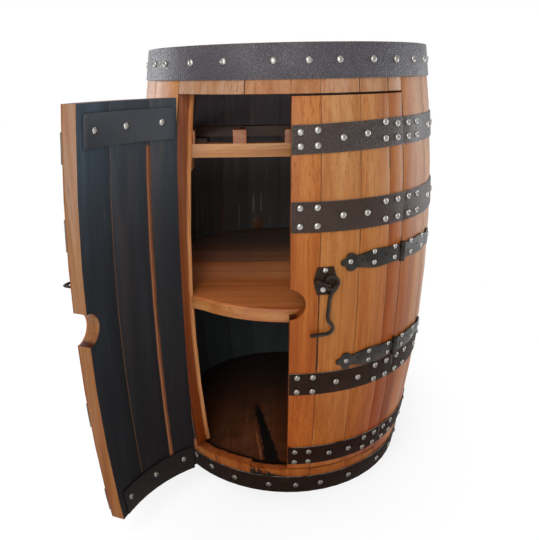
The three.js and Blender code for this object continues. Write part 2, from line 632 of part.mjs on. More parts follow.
// Door stops: battens up the inside of the wall, behind the doors' hinged edges; room is cut for
// them in the shelf and the rack
function stopZone(side, room) {
  const widen = room / innerRadius(HEIGHT / 2) / RAD;
  const from = OPENING_HALF_DEG - STOP_OVERLAP_DEG - widen;
  const to = OPENING_HALF_DEG - STOP_OVERLAP_DEG + STOP_WIDTH_DEG + widen;
  const heights = levels(SILL_TOP + Math.max(...SILL_STEPS) + STOP_GAP, HEADER_BOTTOM - STOP_GAP);
  const near = heights.map((z) => [innerRadius(z) - (room ? 0 : STOP_GAP), z]);
  const far = heights.map((z) => [innerRadius(z) - STOP_THICKNESS - room, z]).reverse();
  return sweep(() => [...near, ...far], facets(...(side > 0 ? [from, to] : [-to, -from])));
}
for (const door of doors) add(`${door.name}_door_stop`, stopZone(door.side, 0), 'oak_light');
const stopRoom = doors.map((door) => stopZone(door.side, STOP_ROOM));

// Middle shelf: a disc against the wall, set back behind the doors and let in round the stops
function shelfProfile(azimuth) {
  const from = Math.min(Math.abs(azimuth), FULL_TURN_DEG - azimuth);
  const inDoor = from < OPENING_HALF_DEG - STOP_OVERLAP_DEG / 2;
  const rim = innerRadius(SHELF_TOP - SHELF_THICKNESS) - (inDoor ? SHELF_DOOR_GAP : SHELF_WALL_GAP);
  const floor = SHELF_TOP - SHELF_THICKNESS;
  return [
    [0, floor], [rim - SHELF_EASING, floor], [rim, floor + SHELF_EASING], [rim, SHELF_TOP - SHELF_EASING],
    [rim - SHELF_EASING, SHELF_TOP], [0, SHELF_TOP],
  ];
}
add('middle_shelf', cutAll(sweep(shelfProfile, ringGrid, { ring: true }), stopRoom), 'oak_light');

// Bottle rack: two rails across, stretchers between them, blocks on the front one that keep the
// necks apart, and the cleats that carry it
const rackLow = RACK_RAIL.top - RACK_RAIL.height;
const reach = BILGE_RADIUS;
const rackBack = RACK_BACK_Y + RACK_RAIL.depth;
let rack = box([-reach, RACK_FRONT_Y, rackLow], [reach, RACK_FRONT_Y + RACK_RAIL.depth, RACK_RAIL.top])
  .add(box([-reach, RACK_BACK_Y, rackLow], [reach, rackBack, RACK_RAIL.top]));
const railHalf = Math.sqrt(innerRadius(rackLow) ** 2 - RACK_FRONT_Y ** 2);
const blockReach = railHalf - BLOCK_END_ROOM;
const firstBlock = Math.ceil(-(blockReach + BLOCK_MIDDLE_X) / BLOCK_PITCH);
for (let i = firstBlock; BLOCK_MIDDLE_X + BLOCK_PITCH * i < blockReach; i += 1) {
  const [x, half] = [BLOCK_MIDDLE_X + BLOCK_PITCH * i, BLOCK_SIZE / 2];
  const [z0, z1] = [RACK_RAIL.top - RACK_EMBED, RACK_RAIL.top + BLOCK_SIZE];
  rack = rack.add(box([x - half, RACK_FRONT_Y, z0], [x + half, RACK_FRONT_Y + RACK_RAIL.depth, z1]));
}
const rackTop = RACK_RAIL.top + BLOCK_SIZE;
for (const side of [-1, 1]) {
  const x = BLOCK_MIDDLE_X + side * (BLOCK_PITCH + BLOCK_SIZE / 2);
  const xs = [x, x - side * STRETCHER.width].sort((a, b) => a - b);
  const [y0, y1] = [RACK_FRONT_Y + RACK_RAIL.depth - RACK_EMBED, RACK_BACK_Y + RACK_EMBED];
  const low = rackLow + STRETCHER.rise;
  rack = rack.add(box([xs[0], y0, low], [xs[1], y1, low + STRETCHER.height]));
}
const rackBounds = sweep(
  () => {
    const [low, high] = [rackLow - CLEAT.drop, rackTop];
    return [[0, low], [innerRadius(low) - SHELF_WALL_GAP, low], [innerRadius(high) - SHELF_WALL_GAP, high], [0, high]];
  }, ringGrid, { ring: true },
);
for (const side of [-1, 1]) {
  for (const y of [RACK_FRONT_Y, rackBack - CLEAT.depth]) {
    const xs = [side * reach, side * (railHalf - CLEAT.width)].sort((a, b) => a - b);
    rack = rack.add(box([xs[0], y, rackLow - CLEAT.drop], [xs[1], y + CLEAT.depth, rackLow + RACK_EMBED]));
  }
}
add('bottle_rack', cutAll(rack.intersect(rackBounds), stopRoom), 'oak_light');

// The origin is the middle of the cabinet's footprint as it stands, left door open
const footprint = new THREE.Box3().setFromObject(group).getCenter(new THREE.Vector3());
group.position.set(-footprint.x, -footprint.y, 0);

export default group;
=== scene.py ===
# Barrel bar cabinet: wood, metalwork, screws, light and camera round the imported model
import bpy
import json
import math
import random
from mathutils import Matrix, Vector
from types import SimpleNamespace


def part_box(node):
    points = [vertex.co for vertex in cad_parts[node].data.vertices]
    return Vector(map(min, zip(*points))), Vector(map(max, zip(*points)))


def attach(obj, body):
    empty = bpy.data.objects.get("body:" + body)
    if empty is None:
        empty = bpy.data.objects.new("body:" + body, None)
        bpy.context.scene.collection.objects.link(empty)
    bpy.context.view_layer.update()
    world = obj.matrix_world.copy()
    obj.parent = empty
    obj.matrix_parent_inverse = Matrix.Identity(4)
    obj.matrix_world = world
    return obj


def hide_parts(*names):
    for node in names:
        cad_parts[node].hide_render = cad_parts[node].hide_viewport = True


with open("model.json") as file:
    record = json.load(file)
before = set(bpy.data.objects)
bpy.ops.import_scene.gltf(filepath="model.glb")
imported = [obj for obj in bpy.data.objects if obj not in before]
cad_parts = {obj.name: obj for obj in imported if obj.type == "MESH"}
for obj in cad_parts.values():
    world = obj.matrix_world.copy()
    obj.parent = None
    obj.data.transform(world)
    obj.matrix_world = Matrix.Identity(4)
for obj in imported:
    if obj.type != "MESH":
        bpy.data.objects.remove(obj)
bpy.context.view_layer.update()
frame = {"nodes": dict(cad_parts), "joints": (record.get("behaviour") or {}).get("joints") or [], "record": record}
scene = bpy.context.scene
nodes = frame["nodes"]

# What the pieces are fitted to, in metres and degrees
barrel = {"bilgeRadius": 0.319, "bulge": 0.04, "height": 0.9, "wall": 0.026, "openingHalf": 42.4}
hoopLow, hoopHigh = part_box("top_hoop")
axis = Vector(((hoopLow.x + hoopHigh.x) / 2, (hoopLow.y + hoopHigh.y) / 2, 0))
joints = {joint["name"]: joint for joint in frame["joints"]}
leftHinge = joints["left_door_hinge"]
leftPivot = Vector((leftHinge["pos_m"][0], leftHinge["pos_m"][1], 0))
leftOpen = math.radians(leftHinge["range_deg"][0])    # the left door is built this far open
leftPose = Matrix.Translation(leftPivot) @ Matrix.Rotation(leftOpen, 4, "Z") @ Matrix.Translation(-leftPivot)
bodyOf = {name: body for body, members in frame["record"]["behaviour"]["bodies"].items() for name in members}
sides = (("left", -1), ("right", 1))


# ---- placing
def outerRadius(z):
    return barrel["bilgeRadius"] - barrel["bulge"] * (2 * z / barrel["height"] - 1) ** 2


def seatOn(azimuth, z, lift=0.0, inside=False, onLeftDoor=False, roll=0.0):
    # a frame on the barrel's wall: X along it, Y up it, Z away from it
    turn = math.radians(azimuth)
    outward = Vector((math.sin(turn), -math.cos(turn), 0))
    slope = -4 * barrel["bulge"] / barrel["height"] * (2 * z / barrel["height"] - 1)
    radius = outerRadius(z) + lift - (barrel["wall"] if inside else 0)
    normal = Vector((outward.x, outward.y, -slope)).normalized() * (-1 if inside else 1)
    upward = Vector((outward.x * slope, outward.y * slope, 1)).normalized()
    across = upward.cross(normal)
    place = Matrix((across, upward, normal)).transposed().to_4x4()
    place.translation = axis + outward * radius + Vector((0, 0, z))
    place = place @ Matrix.Rotation(math.radians(roll), 4, "Z")
    return leftPose @ place if onLeftDoor else place


# ---- modelling helpers
def selectOnly(*pieces):
    bpy.ops.object.select_all(action="DESELECT")
    for piece in pieces:
        piece.select_set(True)
    bpy.context.view_layer.objects.active = pieces[0]


def setMode(mode):
    bpy.ops.object.mode_set(mode=mode)


def applyModifier(piece, kind, **settings):
    modifier = piece.modifiers.new(kind.title(), kind)
    for key, value in settings.items():
        setattr(modifier, key, value)
    selectOnly(piece)
    bpy.ops.object.modifier_apply(modifier=modifier.name)


def pickFaces(piece, test):
    # in edit mode: selects the faces whose centre and normal pass the test
    setMode("OBJECT")
    for face in piece.data.polygons:
        face.select = test(face.center, face.normal)
    for edge in piece.data.edges:
        edge.select = False
    for corner in piece.data.vertices:
        corner.select = False
    for face in piece.data.polygons:
        if face.select:
            for index in face.vertices:
                piece.data.vertices[index].select = True
    setMode("EDIT")
    bpy.ops.mesh.select_mode(type="FACE")


def copyAt(master, place, name):
    piece = bpy.data.objects.new(name, master.data.copy())
    piece.data.transform(place)
    scene.collection.objects.link(piece)
    return piece


def joinAll(pieces, name):
    selectOnly(*pieces)
    if len(pieces) > 1:
        bpy.ops.object.join()
    pieces[0].name = name
    return pieces[0]


def added(primitive, **settings):
    # a new primitive, selected by itself
    bpy.ops.object.select_all(action="DESELECT")
    primitive(**settings)
    return bpy.context.object


def cutLevel(piece, z, **settings):
    # an edge loop all round at one height, or with clear_inner the piece cut off there
    selectOnly(piece)
    setMode("EDIT")
    bpy.ops.mesh.select_all(action="SELECT")
    bpy.ops.mesh.bisect(plane_co=(0, 0, z), plane_no=(0, 0, 1), **settings)
    setMode("OBJECT")


def ease(piece, width, angle):
    # rounds the arrises sharper than the angle
    applyModifier(piece, "BEVEL", width=width, segments=2, limit_method="ANGLE", angle_limit=math.radians(angle))


def smooth(piece, angle):
    selectOnly(piece)
    bpy.ops.object.shade_smooth_by_angle(angle=math.radians(angle))


# What dress does to every copy, in metres and degrees
finish = {"merge": 0.00002, "flat": 0.5, "easeAbove": 35, "smoothBelow": 34}


def dress(name, material, easing=0.0008):
    # a finished copy of a CAD node: doubles merged, arrises eased, shaded smooth between them
    piece = bpy.data.objects.new(name + "_finish", nodes[name].data.copy())
    scene.collection.objects.link(piece)
    selectOnly(piece)
    bpy.ops.mesh.customdata_custom_splitnormals_clear()
    setMode("EDIT")
    bpy.ops.mesh.select_all(action="SELECT")
    bpy.ops.mesh.remove_doubles(threshold=finish["merge"])
    bpy.ops.mesh.dissolve_limited(angle_limit=math.radians(finish["flat"]))
    setMode("OBJECT")
    if easing:
        ease(piece, easing, finish["easeAbove"])
    smooth(piece, finish["smoothBelow"])
    piece.data.materials.clear()
    piece.data.materials.append(material)
    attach(piece, bodyOf[name])
    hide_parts(name)
    return piece


# ---- shader helpers
shader = {}    # "tree" is the node tree that these helpers add to


def newMaterial(name, **settings):
    material = bpy.data.materials.new(name)
    material.use_nodes = True
    shader["tree"] = material.node_tree
    surface = material.node_tree.nodes["Principled BSDF"]
    for key, value in settings.items():
        surface.inputs[key.replace("_", " ")].default_value = value
    return material, surface


def link(source, socket):
    shader["tree"].links.new(source, socket)


def put(kind, inputs=None, **settings):
    made = shader["tree"].nodes.new("ShaderNode" + kind)
    for key, value in settings.items():
        setattr(made, key, value)
    for key, value in (inputs or {}).items():
        if isinstance(value, bpy.types.NodeSocket):
            link(value, made.inputs[key])
        else:
            made.inputs[key].default_value = (*value, 1) if made.inputs[key].type == "RGBA" else value
    return made


def calc(operation, *values, clamp=False):
    return put("Math", dict(enumerate(values)), operation=operation, use_clamp=clamp).outputs[0]


def times(first, second):
    return calc("MULTIPLY", first, second)


def plus(first, second):
    return calc("ADD", first, second)


def minus(first, second):
    return calc("SUBTRACT", first, second)


def unsigned(value):
    return calc("ABSOLUTE", value)


def fade(value, low, high):
    # 0 below low, 1 above high, or the other way round when low is the larger
    ends = {"Value": value, "From Min": low, "From Max": high}
    return put("MapRange", ends, interpolation_type="SMOOTHSTEP").outputs[0]


def spread(value, low, high, toLow=0.0, toHigh=1.0):
    # an even slope from toLow to toHigh as the value goes from low to high
    ends = {"Value": value, "From Min": low, "From Max": high, "To Min": toLow, "To Max": toHigh}
    return put("MapRange", ends).outputs[0]


def mix(factor, first, second, blend="MIX"):
    made = put("Mix", {0: factor, 6: first, 7: second}, data_type="RGBA", blend_type=blend)
    return made.outputs[2]


def toned(colour, tone):
    # the colour times a tone
    return mix(1.0, colour, tone, "MULTIPLY")


def tinted(share, colour, tone):
    # the same, where the share is 1
    return mix(share, colour, toned(colour, tone))


def ramp(factor, stops):
    made = put("ValToRGB", {"Fac": factor})
    elements = made.color_ramp.elements
    while len(elements) < len(stops):
        elements.new(0.5)
    for element, (position, colour) in zip(elements, stops):
        element.position = position
        element.color = (*colour, 1)
    return made.outputs["Color"]


def noise(vector, scale, detail=3.0, roughness=0.5, distortion=0.0):
    inputs = {"Vector": vector, "Scale": scale, "Detail": detail, "Roughness": roughness, "Distortion": distortion}
    return put("TexNoise", inputs).outputs["Fac"]


def stretched(vector, sideways, along, offset=0.0):
    # squeezes or draws out a pattern: sideways in X and Y, along in Z
    place = (offset, offset * 0.7, offset * 1.3)
    return mapped(vector, Scale=(sideways, sideways, along), Location=place)


def mapped(vector, **settings):
    return put("Mapping", {"Vector": vector, **settings}).outputs[0]


def grain(vector, sideways, along, offset, detail, roughness, distortion=0.0):
    return noise(stretched(vector, sideways, along, offset), 1.0, detail, roughness, distortion)


def coords(kind="Object"):
    return put("TexCoord").outputs[kind]


def parts(vector):
    return put("SeparateXYZ", {0: vector}).outputs


def wire(surface, height, bump, **sockets):
    # links the looks to the shader, with the height as a bump of that strength and distance
    for name, value in sockets.items():
        link(value, surface.inputs[name.replace("_", " ")])
    made = put("Bump", {"Height": height, "Strength": bump[0], "Distance": bump[1]})
    link(made.outputs[0], surface.inputs["Normal"])


def barrelSpace(onLeftDoor=False):
    # the piece's own place about the barrel's axis, with the left door turned back shut
    place = coords()
    facing = coords("Normal")
    if onLeftDoor:
        back = leftPose.inverted()
        back.translation = back.translation - axis
        place = mapped(place, Rotation=(0, 0, -leftOpen), Location=back.translation)
        facing = put("Mapping", {"Vector": facing, "Rotation": (0, 0, -leftOpen)}, vector_type="VECTOR").outputs[0]
    else:
        place = mapped(place, Location=-axis)
    x, y, z = parts(place)
    azimuth = calc("DEGREES", calc("ARCTAN2", x, times(y, -1.0)))
    radius = calc("SQRT", plus(times(x, x), times(y, y)))
    level = minus(times(z, 2 / barrel["height"]), 1.0)
    bow = times(times(level, level), -barrel["bulge"])
    depth = minus(plus(bow, barrel["bilgeRadius"]), radius)
    toAxis = put("VectorMath", {0: facing, 1: place}, operation="DOT_PRODUCT").outputs["Value"]
    inward = calc("DIVIDE", toAxis, times(radius, -1.0))
    up = parts(facing)[2]
    inward = plus(inward, calc("DIVIDE", times(up, z), radius))
    return SimpleNamespace(place=place, azimuth=azimuth, depth=depth, inward=inward, up=up, z=z)


# ---- oak
oak = {
    "pale": (0.56, 0.262, 0.098), "mid": (0.47, 0.182, 0.053), "deep": (0.35, 0.112, 0.026),
    "red": (0.4, 0.118, 0.026), "pore": (0.19, 0.06, 0.017), "line": (0.04, 0.016, 0.008),
    "lacquer": (0.7, 0.64, 0.56), "foot": (0.74, 0.46, 0.14), "belly": (0.96, 0.89, 0.68),
    "fine": (0.66, 0.52, 0.42), "endGrain": (0.16, 0.1, 0.09), "roughness": 0.36, "gloss": (0.07, 0.19),
    "glossAlone": 0.13, "bump": (0.35, 0.0006), "easing": 0.0004, "stubEasing": 0.0003,
}
# painted light: the wall's char is given paler tones than the door's, standing in for light inside the barrel
char = {
    "wall": (0.057, 0.052, 0.05), "wallWorn": (0.088, 0.079, 0.07), "brown": (0.13, 0.07, 0.046),
    "aloftDustAndLight": (3.6, 3.5, 4.0), "belowShelf": (0.84, 1.1, 1.2), "door": (0.01, 0.0104, 0.0118),
    "doorWorn": (0.0155, 0.016, 0.0182), "doorFootShade": (0.74, 0.66, 0.66), "doorHeadSkyReflection": (1.75, 2.05, 2.3),
    "doorTopSkyReflection": (1.85, 2.15, 2.2), "hingeSideLessSheen": (0.93, 0.8, 0.74), "reach": 0.0225, "reachSoft": 0.0013,
    "roughness": 0.66, "chime": 0.864,
}


def oakGrain(vector, seed, light=1.0, tint=None):
    # growth bands, pores and a slow drift of tone, all drawn out along Z
    drift = grain(vector, 34, 0.9, seed, 3, 0.55, 0.4)
    base = ramp(drift, [(0.3, oak["deep"]), (0.45, oak["mid"]), (0.68, oak["pale"])])
    bands = grain(vector, 210, 4.0, seed + 9, 4, 0.66, 0.8)
    base = mix(times(fade(bands, 0.48, 0.66), 0.55), base, oak["red"])
    flame = grain(vector, 70, 1.6, seed + 4, 3, 0.6, 1.6)
    base = mix(times(fade(flame, 0.54, 0.7), 0.4), base, oak["deep"])
    pores = grain(vector, 1000, 26, seed + 2, 2, 0.6)
    pores = times(fade(pores, 0.54, 0.68), fade(bands, 0.4, 0.58))
    base = mix(times(pores, 0.6), base, oak["pore"])
    fine = grain(vector, 520, 7.0, seed + 6, 3, 0.7, 0.5)
    base = tinted(times(fade(fine, 0.5, 0.68), 0.42), base, oak["fine"])
    if tint:
        base = toned(base, tint)
    if light != 1.0:
        base = toned(base, (light,) * 3)
    height = minus(times(bands, 0.35), pores)
    return base, height


def charred(at, seed, onDoor=False):
    # the burnt inside: cracked along and across the grain, worn to grey on the ridges
    vector, z = at.place, at.z
    streaks = grain(vector, 70, 3.5, seed, 4, 0.6, 0.5)
    cracks = put("TexVoronoi", {"Vector": stretched(vector, 95, 34, seed), "Scale": 1.0, "Randomness": 0.9},
                 feature="DISTANCE_TO_EDGE").outputs["Distance"]
    # painted light: the wall's char tones are paler than the door's
    black, worn = (char["door"], char["doorWorn"]) if onDoor else (char["wall"], char["wallWorn"])
    colour = mix(fade(streaks, 0.48, 0.78), black, worn)
    brown = grain(vector, 26, 1.4, seed + 7, 3, 0.5)
    share = 0.07 if onDoor else 0.25
    colour = mix(times(fade(brown, 0.56, 0.76), share), colour, char["brown"])
    if onDoor:
        # painted reflection of the sky: blue-grey towards the top; painted shade: blacker at the foot
        colour = mix(fade(z, 0.1, 0.85), toned(colour, char["doorFootShade"]), toned(colour, char["doorHeadSkyReflection"]))
        colour = tinted(fade(z, 0.52, 0.82), colour, char["doorTopSkyReflection"])
        # painted reflection and shade: towards the hinge side the char is darker and less blue
        colour = tinted(fade(at.azimuth, -6.0, -24.0), colour, char["hingeSideLessSheen"])
    else:
        # paler above the rack, partly dust and partly painted light where the header shades the inside; below the
        # shelf tinted cooler and less red
        colour = tinted(fade(z, 0.46, 0.36), colour, char["belowShelf"])
        colour = tinted(fade(z, 0.55, 0.78), colour, char["aloftDustAndLight"])
    height = plus(times(fade(cracks, 0.0, 0.1), 0.8), streaks)
    return colour, height


def lineAt(at, azimuth, low, high, halfWidth, wander=0.25, uneven=3.5):
    # 1 along an uneven upright line, for cracks and joints; halfWidth in degrees
    sway = minus(grain(at.place, 2, 11, azimuth, 4, 0.65), 0.5)
    away = unsigned(plus(minus(at.azimuth, azimuth), times(sway, wander)))
    reach = plus(halfWidth, times(sway, halfWidth * uneven))
    line = spread(away, plus(reach, 0.06), minus(reach, 0.06))
    ends = times(fade(at.z, low - 0.004, low + 0.004), fade(at.z, high + 0.004, high - 0.004))
    return calc("MULTIPLY", line, ends, clamp=True)


def staveMaterial(name, seed, span, onLeftDoor=False, light=1.0, tint=None, edge=(0.8, 0.66, 0.8), joints=0.45,
                  cracks=(), marks=(), ends=oak["endGrain"], scars=()):
    # oak outside and on the edges, charred inside; dark along the joints
    material, surface = newMaterial(name, Specular_IOR_Level=oak["glossAlone"])
    at = barrelSpace(onLeftDoor)
    # the foot is duller than the head
    gloss = spread(at.z, 0.15, 0.75, *oak["gloss"])
    wood, woodHeight = oakGrain(at.place, seed, light, tint)
    wood = toned(wood, oak["lacquer"])
    # painted shade: the wood is darker and more saturated towards the foot, where the light from above falls off
    foot = fade(at.z, 0.74, 0.02)
    wood = tinted(foot, wood, oak["foot"])
    # and it is warmer over the belly in front
    belly = times(fade(at.z, 0.26, 0.36), fade(at.z, 0.68, 0.58))
    belly = times(belly, fade(unsigned(at.azimuth), 62.0, 56.0))
    wood = tinted(belly, wood, oak["belly"])
    # a thin uneven dark line where stave meets stave
    middle, half = (span[0] + span[1]) / 2, (span[1] - span[0]) / 2
    swing = calc("WRAP", minus(at.azimuth, middle), 180.0, -180.0)
    fromEdge = times(minus(half, unsigned(swing)), math.radians(1) * barrel["bilgeRadius"])
    wobble = grain(at.place, 3, 9, seed + 1, 3, 0.6)
    width = times(fade(wobble, 0.4, 0.75), 0.0008)
    joint = times(fade(minus(fromEdge, width), 0.001, 0.0), joints)
    outerFace = fade(at.depth, 0.004, 0.002)
    for azimuth, low, high, halfWidth in cracks:
        joint = calc("MAXIMUM", joint, lineAt(at, azimuth, low, high, halfWidth))
    wood = mix(times(joint, outerFace), wood, oak["line"])
    # the sawn edges are drier than the lacquered face, the sawn ends darker
    edgeTone = toned(wood, edge)
    edgeTone = mix(fade(unsigned(at.up), 0.8, 0.95), edgeTone, toned(wood, ends))
    wood = mix(outerFace, edgeTone, wood)
    for mark in marks:
        wood = mark(at, wood)
    black, blackHeight = charred(at, seed, "door" in name)
    ragged = grain(at.place, 60, 26, seed + 3, 3, 0.6)
    reach = minus(at.depth, times(minus(ragged, 0.5), 0.004))
    burnt = fade(reach, char["reach"] - char["reachSoft"], char["reach"] + char["reachSoft"])
    burnt = times(burnt, fade(at.inward, 0.35, 0.6))
    # the chime above the head was never charred
    burnt = times(burnt, fade(at.z, char["chime"] + 0.002, char["chime"] - 0.002))
    if onLeftDoor:
        for azimuth, low, high, halfWidth, colour, strength in bareJoints:
            bare = lineAt(at, azimuth, low, high, halfWidth, 0.6, 1.4)
            black = mix(times(bare, strength), black, colour)
    for azimuth, low, high, halfWidth, colour in scars:
        black = mix(times(lineAt(at, azimuth, low, high, halfWidth, 0.8), 0.7), black, colour)
    height = put("Mix", {0: burnt, 2: woodHeight, 3: blackHeight}, data_type="FLOAT").outputs[0]
    wire(surface, height, oak["bump"], Base_Color=mix(burnt, wood, black), Specular_IOR_Level=gloss,
         Roughness=spread(burnt, 0.0, 1.0, oak["roughness"], char["roughness"]))
    return material


# Down the inside of the left door two joints are worn back to bare wood.
# Each line here and below: azimuth, low end, high end, half width, then its colour and strength where it has them
bareJoints = [
    (-30.9, 0.11, 0.742, 0.8, (0.145, 0.05, 0.022), 0.92), (-30.6, 0.05, 0.742, 0.26, (0.27, 0.105, 0.044), 0.85),
    (-15.2, 0.09, 0.66, 0.18, (0.082, 0.044, 0.026), 0.85),
]


def spanOf(name, onLeftDoor=False):
    # the azimuths between which a stave lies
    back = leftPose.inverted() if onLeftDoor else Matrix.Identity(4)
    angles = []
    for corner in nodes[name].data.vertices:
        p = back @ corner.co - axis
        angles.append(math.degrees(math.atan2(p.x, -p.y)))
    if max(angles) - min(angles) > 180:
        angles = [angle % 360 for angle in angles]
    return min(angles), max(angles)


# each door stave's light and tint; on the right-hand door these are partly the staves' own tones and partly a painted
# sheen of grazing light
staveTonesAndSheen = {
    "right_door_stave_1": (1.0, (0.96, 0.9, 0.8)), "right_door_stave_2": (1.01, (1.0, 1.2, 1.52)),
    "right_door_stave_3": (0.98, (0.96, 1.03, 1.14)), "right_door_stave_4": (0.94, (0.88, 0.78, 0.62)),
    "left_door_stave_1": (0.92, (1.0, 0.97, 0.92)), "left_door_stave_2": (1.02, (1.0, 1.02, 1.05)),
    "left_door_stave_3": (0.98, (1.0, 1.0, 1.05)),
}
staveCracks = {
    "right_door_stave_1": [(9.58, 0.312, 0.398, 0.2), (9.62, 0.398, 0.474, 0.12)],
    "right_door_stave_2": [(9.84, 0.312, 0.398, 0.22), (9.8, 0.398, 0.474, 0.12), (23.4, 0.45, 0.6, 0.06)],
    "right_door_stave_3": [(35.5, 0.69, 0.728, 0.22)],
    "right_door_stave_4": [(35.7, 0.69, 0.728, 0.2), (42.25, 0.765, 0.8, 0.2)],
    "wall_stave_01": [(42.6, 0.765, 0.8, 0.14)],
}
# faint scars in the char of the back wall about the bung
staveScars = [(-147.0, 0.435, 0.5, 0.22, (0.3, 0.08, 0.05)), (-157.0, 0.44, 0.51, 0.18, (0.2, 0.17, 0.14)),
              (-165.2, 0.48, 0.53, 0.25, (0.3, 0.25, 0.2)), (-169.6, 0.482, 0.535, 0.22, (0.3, 0.25, 0.2))]
headerJoints = [(-15.39, 0.8, 0.9, 0.16), (9.71, 0.8, 0.9, 0.05), (23.49, 0.8, 0.9, 0.14), (35.57, 0.8, 0.9, 0.16)]
sillJoints = [(-31.88, 0.04, 0.09, 0.14), (-15.39, 0.04, 0.09, 0.16), (9.71, 0.04, 0.09, 0.12), (23.49, 0.04, 0.09, 0.1),
              (35.57, 0.04, 0.09, 0.12)]
wallTones = [0.89, 1.03, 0.9, 1.0, 0.93, 1.05, 0.96, 0.88, 1.02, 0.94, 1.04, 0.91, 0.99, 0.95, 1.03, 0.96]
# the paler, bluer tint of wall_stave_02 paints the sheen of grazing light; wall_stave_01's tint is its own tone
wallTintsAndSheen = {"wall_stave_01": (1.0, 0.95, 0.84), "wall_stave_02": (1.0, 1.14, 1.26)}
headerTonesAndSheen = [(-15.39, 9.71, (0.94, 0.9, 0.82)), (-60.0, -15.39, (1.0, 1.2, 1.45)),
               (9.71, 60.0, (1.03, 1.16, 1.3))]
# the two pale tones paint the sheen of grazing light on the first fixed stave
sideTones = {"pale": (1.12, 1.38, 1.42), "paleLowSheen": (1.22, 1.42, 1.3), "brown": (0.8, 0.74, 0.48),
             "warm": (0.95, 0.82, 0.6)}
# One sill stub is burnt: between which azimuths, and how high above the hoop
sillBurn = {"from": -15.4, "to": -2.0, "hoopTop": 0.0452, "high": 0.019, "low": 0.0042, "depth": 0.0195,
            "soot": (0.008, 0.005, 0.004)}
doorTrim = {"top": 0.806, "rise": 0.0038, "shortFoot": 0.076}


def headerBoards(at, wood):
    # the stubs above the doors differ in tone; the paler, bluer outer ones partly paint the sheen of grazing light
    for low, high, tone in headerTonesAndSheen:
        within = times(fade(at.azimuth, low - 0.05, low + 0.05), fade(at.azimuth, high + 0.05, high - 0.05))
        wood = tinted(within, wood, tone)
    return wood


def sideSheenAndBrowning(at, wood):
    # painted sheen of grazing light: the first fixed stave is paler away from the door, most of all low down; beside
    # the door it browns
    side = fade(at.azimuth, 47.0, 60.0)
    wood = tinted(side, wood, sideTones["pale"])
    side = times(fade(at.azimuth, 44.0, 53.0), fade(at.z, 0.64, 0.5))
    wood = tinted(side, wood, sideTones["paleLowSheen"])
    beside = times(fade(at.azimuth, 50.0, 45.0), fade(at.z, 0.46, 0.25))
    return tinted(beside, wood, sideTones["brown"])


def warmSide(at, wood):
    # below the bilge hoop the right-hand door turns more orange towards its hinges
    beside = times(fade(at.azimuth, 30.0, 34.0), fade(at.z, 0.66, 0.56))
    return tinted(beside, wood, sideTones["warm"])


def sillChar(at, wood):
    # burnt along the sill's inner edge, and in a jagged patch on the third stub above the hoop
    jag = grain(at.place, 150, 60, 2.0, 4, 0.7)
    inner = plus(at.depth, times(minus(jag, 0.5), 0.012))
    wider = times(fade(at.azimuth, -15.5, -15.2), 0.0042)
    burnt = fade(plus(inner, wider), sillBurn["depth"], sillBurn["depth"] + 0.0025)
    spikes = grain(at.place, 320, 40, 5.0, 3, 0.75)
    taper = spread(at.azimuth, sillBurn["from"], sillBurn["to"], sillBurn["high"], sillBurn["low"])
    ragged = plus(0.25, times(fade(spikes, 0.38, 0.64), 1.35))
    top = plus(sillBurn["hoopTop"], times(taper, ragged))
    patch = fade(minus(at.z, top), 0.0012, -0.0012)
    patch = times(patch, fade(at.azimuth, sillBurn["from"] - 0.05, sillBurn["from"] + 0.1))
    patch = times(patch, fade(at.azimuth, sillBurn["to"] + 3.0, sillBurn["to"] + 0.5))
    patch = times(patch, fade(at.depth, 0.006, 0.004))
    return mix(calc("MAXIMUM", burnt, patch), wood, sillBurn["soot"])


def dressStaves():
    for index in range(16):
        name = f"wall_stave_{index + 1:02d}"
        warm = 1.02 + 0.12 * ((index * 7) % 5) / 4
        tint = wallTintsAndSheen.get(name, (1, warm, warm * warm))
        marks = (sideSheenAndBrowning,) if index == 0 else ()
        material = staveMaterial(name + "_oak", 3.1 * index + 1, spanOf(name), False, wallTones[index], tint,
                                 (0.82, 0.68, 1.05), 0.85, staveCracks.get(name, ()), marks, scars=staveScars)
        dress(name, material, oak["easing"])
    for name, (light, tint) in staveTonesAndSheen.items():
        onLeft = name.startswith("left")
        edge = (0.74, 1.08, 2.2) if onLeft else (0.8, 0.66, 0.8)
        marks = (warmSide,) if name in ("right_door_stave_3", "right_door_stave_4") else ()
        material = staveMaterial(name + "_oak", 2.3 * len(name) + 5 * int(name[-1]), spanOf(name, onLeft), onLeft,
                                 light, tint, edge, cracks=staveCracks.get(name, ()), marks=marks)
        piece = dress(name, material, oak["easing"])
        # the doors close up to the header but for a saw cut
        for corner in piece.data.vertices:
            if corner.co.z > doorTrim["top"]:
                corner.co.z += doorTrim["rise"]
        if name == "left_door_stave_1":
            # this stave was sawn a little shorter than its neighbours
            cutLevel(piece, doorTrim["shortFoot"], clear_inner=True, use_fill=True)
    span = (-barrel["openingHalf"], barrel["openingHalf"])
    # the header's paler, bluer tint partly paints the sheen of grazing light
    material = staveMaterial("header_oak", 41, span, light=1.02, tint=(0.94, 1.16, 1.95), cracks=headerJoints,
                             marks=(headerBoards,))
    dress("header_stave_ends", material, oak["stubEasing"])
    material = staveMaterial("sill_oak", 47, span, cracks=sillJoints, tint=(0.86, 1.0, 1.6), marks=(sillChar,),
                             ends=(1.1, 1.03, 1.9), edge=(1.0, 0.9, 0.85))
    dress("sill_stave_ends", material, oak["stubEasing"])
    print("staves dressed")


dressStaves()

